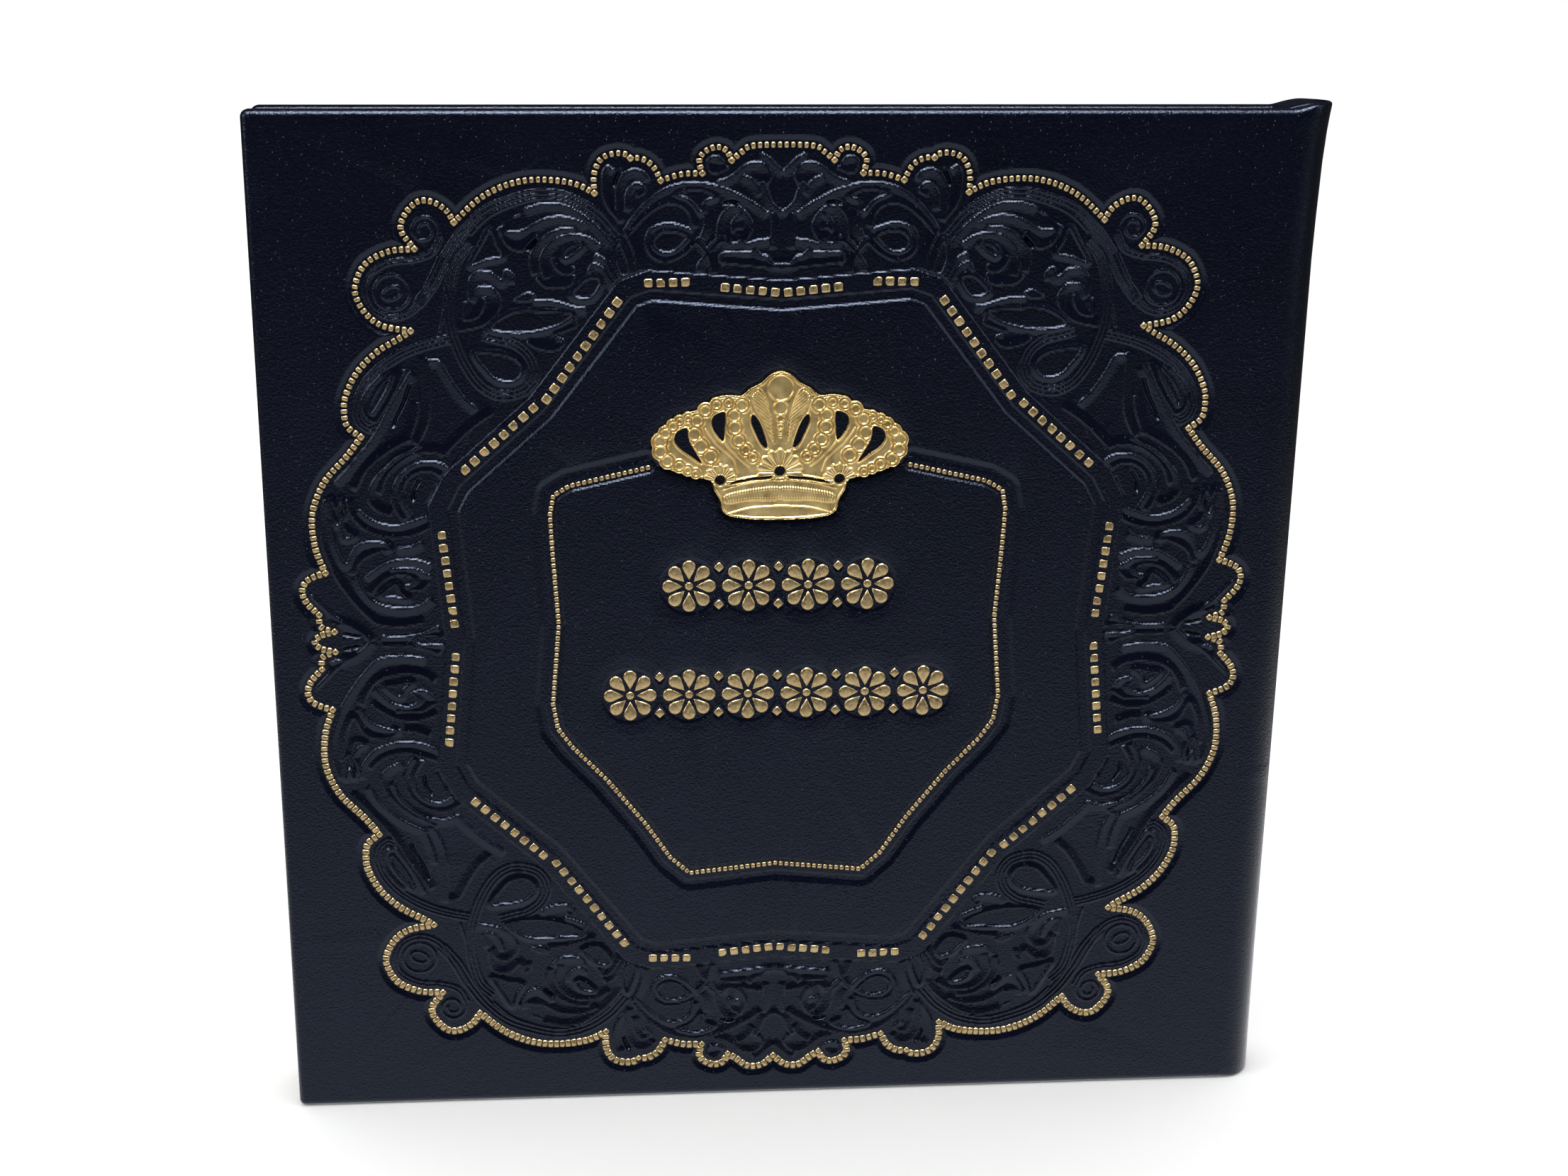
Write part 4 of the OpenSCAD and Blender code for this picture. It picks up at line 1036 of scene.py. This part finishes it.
leather = leather_material()
foil = gold_material("gold_foil", rgb(148, 126, 87), rgb(194, 172, 129), 2600.0, 0.00006, 0.89)
crown_gold = gold_material("crown_gold", rgb(202, 174, 114), rgb(232, 206, 146), 500.0, 0.00002, 0.92)
board = paper_material("grey_board", rgb(150, 134, 108), rgb(176, 160, 132), True)
endpaper = paper_material("endpaper", rgb(232, 226, 208), rgb(243, 238, 224), False)
leaf_paper = paper_material("leaf_paper", rgb(226, 217, 194), rgb(240, 232, 213), True)
lining = cloth_material("lining_cloth", rgb(186, 180, 164), rgb(226, 222, 208), 500.0)
thread = cloth_material("thread", rgb(200, 194, 178), rgb(234, 229, 214), 1500.0)
band = cloth_material("band_cloth", rgb(36, 40, 74), rgb(226, 220, 200), 260.0)


def depth_of(y, back):
    """A place across the book's thickness, or its mirror image on the back's side."""
    return 2 * MID_Y - y if back else y


def leather_edges(parts, back):
    """Rounded edges and turn-ins of a cover along its tail, fore edge and head, as one swept strip."""
    arc = np.radians(np.linspace(0, 90, 7))
    inner_y = FRONT_Y + COVER_T
    profile = [(EDGE_R * (1 - math.sin(a)), FRONT_Y + EDGE_R * (1 - math.cos(a))) for a in arc]
    profile += [(EDGE_R * (1 - math.cos(a)), inner_y - EDGE_R * (1 - math.sin(a))) for a in arc]
    profile += [(TURNIN_W, inner_y), (TURNIN_W, inner_y + TURNIN_T)]
    rows = []
    for inset, y in profile:
        keep, past = max(EDGE_R - inset, 0), max(inset - EDGE_R, 0)
        low, high = EDGE_R + past, CASE_H - EDGE_R - past
        left = FORE_X + EDGE_R + past
        row = [(x, low - keep) for x in np.linspace(COVER_SEAM_X, left, 40)[:-1]]
        row += [(left - keep * math.sin(a), low - keep * math.cos(a)) for a in arc]
        row += [(left - keep, z) for z in np.linspace(low, high, 40)[1:-1]]
        row += [(left - keep * math.cos(a), high + keep * math.sin(a)) for a in arc]
        row += [(x, high + keep) for x in np.linspace(left, COVER_SEAM_X, 40)[1:]]
        rows.append([(x, depth_of(y, back), z) for x, z in row])
    parts.grid(rows, flip=back)


def thinned(points, faces, share):
    """The same surface with fewer triangles, kept where it bends most."""
    mesh = bpy.data.meshes.new("thinned")
    mesh.from_pydata(points, [], faces)
    obj = bpy.data.objects.new("thinned", mesh)
    bpy.context.scene.collection.objects.link(obj)
    obj.modifiers.new("fewer", "DECIMATE").ratio = share
    done = obj.evaluated_get(bpy.context.evaluated_depsgraph_get()).to_mesh()
    points = [tuple(v.co) for v in done.vertices]
    faces = [tuple(f.vertices) for f in done.polygons]
    bpy.data.objects.remove(obj)
    bpy.data.meshes.remove(mesh)
    return points, faces


def relief_faces(raster, triangles, height, foot, sx, sz, points, index):
    """Faces of a relief on the front cover, mirrored by sx and sz; each new point is added once."""
    faces = []
    for face in triangles:
        ids = []
        for r, c in face:
            key = (sz * r, sx * (raster.nx - 1 - c))
            if key not in index:
                index[key] = len(points)
                x, z = ORNAMENT_X + sx * raster.x[c], foot + sz * raster.z[r]
                points.append((x, FRONT_Y - height[r, c], z))
            ids.append(index[key])
        faces.append(ids if sx * sz > 0 else ids[::-1])
    return faces


def front_leather():
    """The front cover's leather: its embossed face, rounded edges and turn-ins."""
    scrolls = scroll_relief()
    points, index, faces, slopes = [], {}, [], {}
    for end in (1, -1):
        height = face_height(end, scrolls)
        slopes[end] = QUARTER.slopes(height)
        triangles = QUARTER.triangles([(height, FACE_TOLERANCE)])
        for sx in (1, -1):
            faces += relief_faces(QUARTER, triangles, height, ORNAMENT_Z, sx, end, points, index)
    points, faces = thinned(points, faces, min(1, FACE_TRIANGLES / len(faces)))

    def lean(x, z):
        """Directions of the face's relief at places on the cover."""
        sx, end = np.where(x > ORNAMENT_X, -1, 1), np.where(z >= ORNAMENT_Z, 1, -1)
        r, c = QUARTER.nearest(-np.abs(x - ORNAMENT_X), np.abs(z - ORNAMENT_Z))
        slope_z, slope_x = (np.where(end > 0, slopes[1][k][r, c], slopes[-1][k][r, c]) for k in (0, 1))
        return unit(np.stack([-sx * slope_x, -np.ones_like(x), -end * slope_z], axis=-1))

    parts = MeshParts()
    parts.add(points, faces, relief_normals(points, faces, lean, margin=0.02))
    for x0, x1 in ((FORE_X + EDGE_R, ORNAMENT_X - FACE_W), (FACE_END_X, COVER_SEAM_X)):
        parts.grid([[(x, FRONT_Y, z) for x in (x0, x1)] for z in np.linspace(EDGE_R, CASE_H - EDGE_R, 12)])
    leather_edges(parts, False)
    return parts.build("embossed_leather", leather)


def back_leather():
    """The back cover's plain, flat leather with its rounded edges and turn-ins."""
    parts = MeshParts()
    xs = np.linspace(FORE_X + EDGE_R, COVER_SEAM_X, 30)
    parts.grid([[(x, BACK_Y, z) for x in xs] for z in np.linspace(EDGE_R, CASE_H - EDGE_R, 30)], flip=True)
    leather_edges(parts, True)
    return parts.build("back_cover_leather", leather)


def spine_end(x, y, out, flare, radius):
    """Points from the spine's side over its rounded end and the cap that roofs its hollow, with depths."""
    rows = [(flare * share, depth) for share, depth in FLARE_STEPS]
    for a in np.radians(np.linspace(0, 90, 6)):
        rows.append((flare - radius * (1 - math.cos(a)), radius * (1 - math.sin(a))))
    ends = [(x + out[0] * off, y + out[1] * off, depth) for off, depth in rows]
    rim_x, rim_y, _ = ends[-1]
    reach = 0.25 + 0.75 * float(climb(x, COVER_SEAM_X + 0.5, 0.8))
    for share in (0.15, 0.4, 0.7, 1.0):
        ends.append((rim_x, rim_y + (MID_Y - rim_y) * share * reach, 0.02 + CAP_SAG * share))
    ends.append((rim_x, ends[-1][1], 0.9))
    ends += [(x - out[0] * SPINE_T, y - out[1] * SPINE_T, depth) for depth in CAP_INNER]
    return ends


def spine_half(name, back):
    """Half of the spine's leather, from a cover's edge to the middle of the spine, with its end caps."""
    rows = []
    for t in np.radians(np.linspace(0, 90, 25)):
        out = np.array([math.sin(t) / SPINE_REACH, -math.cos(t) / (MID_Y - FRONT_Y)])
        out /= np.hypot(*out)
        x = COVER_SEAM_X + SPINE_REACH * math.sin(t)
        y = MID_Y + (FRONT_Y - MID_Y) * math.cos(t)
        spread = float(ease(math.degrees(t) / SPREAD_TURN))
        radius = EDGE_R + (CAP_R - EDGE_R) * spread
        top = CASE_H + HEADCAP * float(ease(math.degrees(t) / HEADCAP_TURN))
        row = spine_end(x, y, out, TAIL_FLARE * spread, radius)[::-1]
        row += [(x, y, z) for z in np.linspace(20, CASE_H - 20, 14)]
        row += [(px, py, top - depth) for px, py, depth in spine_end(x, y, out, HEAD_FLARE * spread, radius)]
        rows.append([(px, depth_of(py, back), z) for px, py, z in row])
    parts = MeshParts()
    parts.grid(rows, flip=not back)
    return parts.build(name, leather)


jitter = np.random.default_rng(11)


def pillow(parts, place, size, base, top, dip=0.0, soft=0.14, power=3.5):
    """A small bead of foil with soft corners; a dip sinks its middle, and a high power flattens its top."""
    x, z, angle = place
    c, s = math.cos(angle), math.sin(angle)
    tilt_u, tilt_v = jitter.uniform(-BEAD_TILT, BEAD_TILT, 2)
    width, length = size
    grow = 1 + jitter.uniform(-BEAD_VARY, BEAD_VARY)
    rows = []
    for v in PILLOW_STEPS:
        row = []
        for u in PILLOW_STEPS:
            px = u * width / 2 * (1 - soft * v ** 4) * grow
            pz = v * length / 2 * (1 - soft * u ** 4) * grow
            dome = ((1 - abs(u) ** power) * (1 - abs(v) ** power)) ** 0.5
            sunk = dip * float(fall(max(abs(u), abs(v)) / 0.7))
            y = base + (top - base) * dome - sunk + (tilt_u * u * width + tilt_v * v * length) * dome
            row.append((ORNAMENT_X + x + px * c - pz * s, FRONT_Y - y, ORNAMENT_Z + z + px * s + pz * c))
        rows.append(row)
    parts.grid(rows)


def border_beads():
    """The scalloped border's beads, a little larger towards the tail, with a round bead at each cusp."""
    parts = MeshParts()
    side = smooth_line(SIDE_LOBE, BORDER_STEP)
    lines = [side, mirrored(side, -1, 1)] + border_lines(1) + border_lines(-1)
    for line in lines:
        for place in even_places(line, BEAD_PITCH, 1, 1):
            grow = 1 - BEAD_GROW * place[1] / ORNAMENT_Z
            size = [grow * length for length in BORDER_BEAD]
            pillow(parts, place, size, BEAD_BASE, BEAD_TOP, soft=0.1, power=4.5)
    cusps = {(round(abs(p[0]), 3), round(abs(p[1]), 3)) for line in lines for p in (line[0], line[-1])}
    for x, z in sorted(cusps):
        for sx in (1, -1) if x else (1,):
            for sz in (1, -1):
                if (x, z) == TAIL_LOBE[-1] and sz > 0:
                    continue
                pillow(parts, (sx * x, sz * z, math.pi / 4), CUSP_BEAD, BEAD_BASE, CUSP_TOP)
    return parts.build("border_beads", foil)


def frame_squares():
    """The eight-sided frame's squares, slightly sunk in their middles."""
    parts = MeshParts()
    for run in SQUARE_RUNS:
        for sx in (1, -1):
            for sz in (1, -1):
                for place in even_places(mirrored(run, sx, sz), SQUARE_PITCH, 0, 0):
                    pillow(parts, place, SQUARE, GROUND, SQUARE_TOP, dip=0.06, soft=0.05, power=7)
    return parts.build("frame_gold_squares", foil)


def panel_beads():
    """The inner panel's beads."""
    parts = MeshParts()
    for sx in (1, -1):
        for place in even_places(mirrored(PANEL_POINTS, sx, 1), PANEL_PITCH, 0, 0 if sx > 0 else 1):
            pillow(parts, place, PANEL_BEAD, BEAD_BASE, BEAD_TOP, soft=0.1, power=4.5)
    return parts.build("panel_beads", foil)


def domed_shape(parts, outline):
    """A closed foil shape with a rounded rim."""
    outline = np.asarray(outline, float)
    middle = outline.mean(axis=0)
    rows = []
    for share, lift in ((1.0, 0.0), (0.92, 0.6), (0.75, 0.88), (0.4, 1.0)):
        y = FRONT_Y - ROSETTE_BASE - (ROSETTE_TOP - ROSETTE_BASE) * lift
        ring = middle + (outline - middle) * share
        rows.append([(ORNAMENT_X + x, y, ORNAMENT_Z + z) for x, z in ring])
    parts.grid(rows, closed=True)
    count, hub = len(outline), len(parts.points)
    parts.points.append((ORNAMENT_X + middle[0], FRONT_Y - ROSETTE_TOP, ORNAMENT_Z + middle[1]))
    last = hub - count
    parts.faces += [(last + k, last + (k + 1) % count, hub) for k in range(count)]


def rosettes():
    """The two rows of gold rosettes with lozenges between them."""
    parts = MeshParts()
    radius = ROSETTE_D / 2
    tip, r = radius * PETAL_TIP, radius * PETAL_R
    centre = radius - r
    lean = math.asin(r / (centre - tip))
    arc = np.linspace(-lean, math.pi + lean, 16)
    drop = np.array([(0, tip)] + [(r * math.cos(a), centre + r * math.sin(a)) for a in arc])
    h = LOZENGE * math.sqrt(0.5)
    for x, z, followed in rosette_places():
        for k in range(PETALS):
            a = 2 * math.pi * k / PETALS
            turn = np.array([(math.cos(a), math.sin(a)), (-math.sin(a), math.cos(a))])
            domed_shape(parts, drop @ turn + (x, z))
        domed_shape(parts, oval_line((x, z), (radius * HUB_R, radius * HUB_R), 0, 14)[:-1])
        for side in (1, -1) if followed else ():
            cx, cz = x + ROSETTE_PITCH / 2, z + side * LOZENGE_Z
            domed_shape(parts, [(cx + h, cz), (cx, cz + h), (cx - h, cz), (cx, cz - h)])
    return parts.build("title_rosettes", foil)


def crown_piece():
    """The stamped crown: plate, rings, shells, combed bands and openings."""
    height = crown_height()
    slope_z, slope_x = CROWN.slopes(height)
    fields = [(height, CROWN_TOLERANCE), (slope_x, SLOPE_TOLERANCE), (slope_z, SLOPE_TOLERANCE)]
    triangles = CROWN.triangles(fields)
    triangles = [face for face in triangles if max(height[r, c] for r, c in face) >= GROUND]
    foot = ORNAMENT_Z + CROWN_FOOT
    points, index, faces = [], {}, []
    for sx in (1, -1):
        faces += relief_faces(CROWN, triangles, height, foot, sx, 1, points, index)

    def lean(x, z):
        """Directions of the crown's relief at places on the cover."""
        sx = np.where(x > ORNAMENT_X, -1, 1)
        r, c = CROWN.nearest(-np.abs(x - ORNAMENT_X), z - foot)
        return unit(np.stack([-sx * slope_x[r, c], -np.ones_like(x), -slope_z[r, c]], axis=-1))

    parts = MeshParts()
    parts.add(points, faces, relief_normals(points, faces, lean, margin=1.0))
    return parts.build("stamped_crown", crown_gold)


def section_leaves(k):
    """A gathering of folded leaves, thinner towards its fold."""
    parts = MeshParts()
    first_y = SECTION_Y + k * SECTION_PITCH
    for leaf in range(LEAVES):
        low = leaf / LEAVES
        high = low + LEAF_FILL / LEAVES
        fore, tail, head = jitter.uniform(-LEAF_TRIM, LEAF_TRIM, 3)
        z0, z1 = BLOCK_Z[0] + LEAF_TRIM + tail, BLOCK_Z[1] - LEAF_TRIM + head
        fore_x = BLOCK_FORE_X + LEAF_TRIM + fore
        rows = []
        for x, thick in ((fore_x, SECTION_T), (FOLD_X - FOLD_TAPER, SECTION_T), (FOLD_X, FOLD_T)):
            y0, y1 = first_y + thick * low, first_y + thick * high
            rows.append([(x, y0, z0), (x, y1, z0), (x, y1, z1), (x, y0, z1)])
        parts.grid(rows, closed=True, flip=True)
        start = len(parts.points) - 12
        parts.faces += [tuple(start + i for i in (0, 1, 2, 3)), tuple(start + i for i in (11, 10, 9, 8))]
    return parts.build("leaves_of_section_%d" % (k + 1), leaf_paper, smooth=False)


def head_band(name, tail):
    """A band at the end of the block's back: a corded bead wrapped in thread, with its tape below."""
    parts = MeshParts()
    around = np.linspace(0, 2 * math.pi, 13)[:-1]
    y0, y1 = MID_Y - BAND_H / 2, MID_Y + BAND_H / 2
    rows = []
    for i, y in enumerate(np.linspace(y0, y1, BAND_TURNS * 6 + 1)):
        r = BAND_R * (1 - BAND_CORD + BAND_CORD * abs(math.sin(math.pi * i / 6)))
        rows.append([(BAND_X + r * math.cos(a), y, BAND_Z + r * math.sin(a)) for a in around])
    parts.grid(rows, closed=True, flip=not tail)
    end = len(parts.points) - 12
    parts.faces += [tuple(range(11, -1, -1)), tuple(range(end, end + 12))]
    x0, x1 = TAPE_X
    tape = [(x0, y0), (x0, y1), (x1, y1), (x1, y0)]
    parts.grid([[(x, y, z) for x, y in tape] for z in TAPE_Z], closed=True, flip=tail)
    if tail:
        parts.points = [(x, y, CASE_H - z) for x, y, z in parts.points]
    return parts.build(name, band)


def lining_mull():
    """The lining cloth on the backs of the sections."""
    parts = MeshParts()
    ys = np.linspace(*MULL_Y, 5)
    parts.grid([[(MULL_X, y, z) for y in ys] for z in np.linspace(*MULL_Z, 40)])
    return parts.build("lining_mull", lining)


def paper_strip(name, outline, back):
    """A strip of endpaper in the joint, from its outline in plan."""
    parts = MeshParts()
    rings = [[(x, depth_of(y, back), z) for x, y in outline] for z in (STRIP_INSET, CASE_H - STRIP_INSET)]
    parts.grid(rings, closed=True, flip=back)
    return parts.build(name, endpaper, smooth=False)


glossy = bpy.data.collections.new("glossy_pieces")


def finish_as(obj, slot):
    """Puts leather and gold pieces in the collection that the bright overhead lamp lights."""
    if slot in ("leather", "gold_foil", "crown_gold"):
        glossy.objects.link(obj)


def dress(obj, body, slot, *nodes):
    """Sets a piece on its body, hides the frame nodes it stands for, and lets the overhead lamp light it if
    it is leather or gold.
    """
    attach(obj, body)
    finish_as(obj, slot)
    if nodes:
        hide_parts(*nodes)


dress(front_leather(), "front_cover", "leather", "front_leather")
dress(back_leather(), "back_cover", "leather", "back_leather")
dress(border_beads(), "front_cover", "gold_foil", "border_beading")
dress(frame_squares(), "front_cover", "gold_foil", "frame_squares")
dress(panel_beads(), "front_cover", "gold_foil", "panel_beading")
dress(rosettes(), "front_cover", "gold_foil", "title_ornament")
dress(crown_piece(), "front_cover", "crown_gold", "crown_plaque")

SPINE_HALVES = (("spine_leather_front", False, "front_cover"), ("spine_leather_back", True, "back_cover"))
for name, back, cover in SPINE_HALVES:
    half = spine_half(name, back)
    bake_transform(half)
    finish_as(half, "leather")
    if not back:
        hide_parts("spine_leather")

for side, back in (("front", False), ("back", True)):
    dress(paper_strip(side + "_board_edge_paper", COVER_STRIP, back), side + "_cover", "endpaper")
    dress(paper_strip(side + "_joint_paper", SPINE_STRIP, back), "spine", "endpaper")

for k in range(SECTIONS):
    body = "leaves_%d" % (k + 1) if k < SECTIONS - 1 else "spine"
    dress(section_leaves(k), body, "leaf_paper", "section_%d" % (k + 1))
dress(head_band("thread_headband", False), "spine", "band_cloth", "headband")
dress(head_band("thread_tailband", True), "spine", "band_cloth", "tailband")
dress(lining_mull(), "spine", "lining_cloth", "mull")

CAD_LOOKS = {
    "front_board": board, "back_board": board, "spine_stiffener": board, "front_pastedown": endpaper,
    "back_pastedown": endpaper, "front_flyleaf": endpaper, "back_flyleaf": endpaper, "sewing_thread": thread,
}
for name, material in CAD_LOOKS.items():
    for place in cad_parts[name].material_slots:
        place.material = material

# The floor, which curves up into a wall far off; the book's gloss shows the world's soft light in its place.
profile = [(1.0, 0.0)]
for turn in np.radians(np.linspace(0, 90, 13)):
    profile.append((FLOOR_R - SWEEP_R + SWEEP_R * math.sin(turn), SWEEP_R * (1 - math.cos(turn))))
profile.append((FLOOR_R, WALL_H))
round_floor = np.linspace(0, 2 * math.pi, 73)[:-1]
stage = MeshParts()
stage.grid([[(r * math.cos(a), r * math.sin(a), up) for a in round_floor] for r, up in profile], closed=True)
stage.faces.append(tuple(range(len(round_floor))))
floor = stage.build("floor", floor_material())
floor.visible_glossy = False


def area_light(name, place, size, power):
    """A soft lamp that faces the middle of the book."""
    data = bpy.data.lights.new(name, "AREA")
    data.shape = "RECTANGLE"
    data.size, data.size_y = size
    data.energy = power
    light = bpy.data.objects.new(name, data)
    light.location = place
    light.rotation_euler = (Vector(BOOK_MIDDLE) - Vector(place)).to_track_quat("-Z", "Y").to_euler()
    bpy.context.scene.collection.objects.link(light)
    return light


overhead = area_light("overhead", (0.0, -0.25, 0.85), (0.5, 0.35), 16.0)
overhead.light_linking.receiver_collection = glossy
area_light("left_panel", (-0.75, -0.3, 0.4), (0.3, 0.4), 2.6)
area_light("right_panel", (0.75, -0.3, 0.4), (0.4, 0.5), 1.2)
area_light("ceiling", (0.0, 0.0, 2.3), (5.0, 5.0), 140.0).visible_glossy = False

world = bpy.data.worlds.new("studio")
sky = Look(world, "Background")
axes = sky.node("SeparateXYZ", Vector=sky.node("TexCoord").outputs["Generated"])
below = sky.node("MapRange", **{"Value": axes.outputs["Z"], "From Min": -0.5, "From Max": 0.0})
sky.fill(sky.shader, {"Color": sky.ramp(below.outputs["Result"], [(at, grey(tone)) for at, tone in GLOW])})
bpy.context.scene.world = world
bpy.context.scene.view_settings.view_transform = "Standard"

camera_data = bpy.data.cameras.new("camera")
camera_data.sensor_width = 36.0
camera_data.lens = 47.197
camera_data.shift_x = 0.0398
camera_data.clip_start = 0.01
camera = bpy.data.objects.new("camera", camera_data)
forward, up = Vector((0.06422, 0.95749, -0.28124)), Vector((0.01549, 0.28083, 0.95963))
facing = Matrix((forward.cross(up), up, -forward)).transposed().to_4x4()
camera.matrix_world = Matrix.Translation(CAMERA_PLACE) @ facing
bpy.context.scene.collection.objects.link(camera)
bpy.context.scene.camera = camera
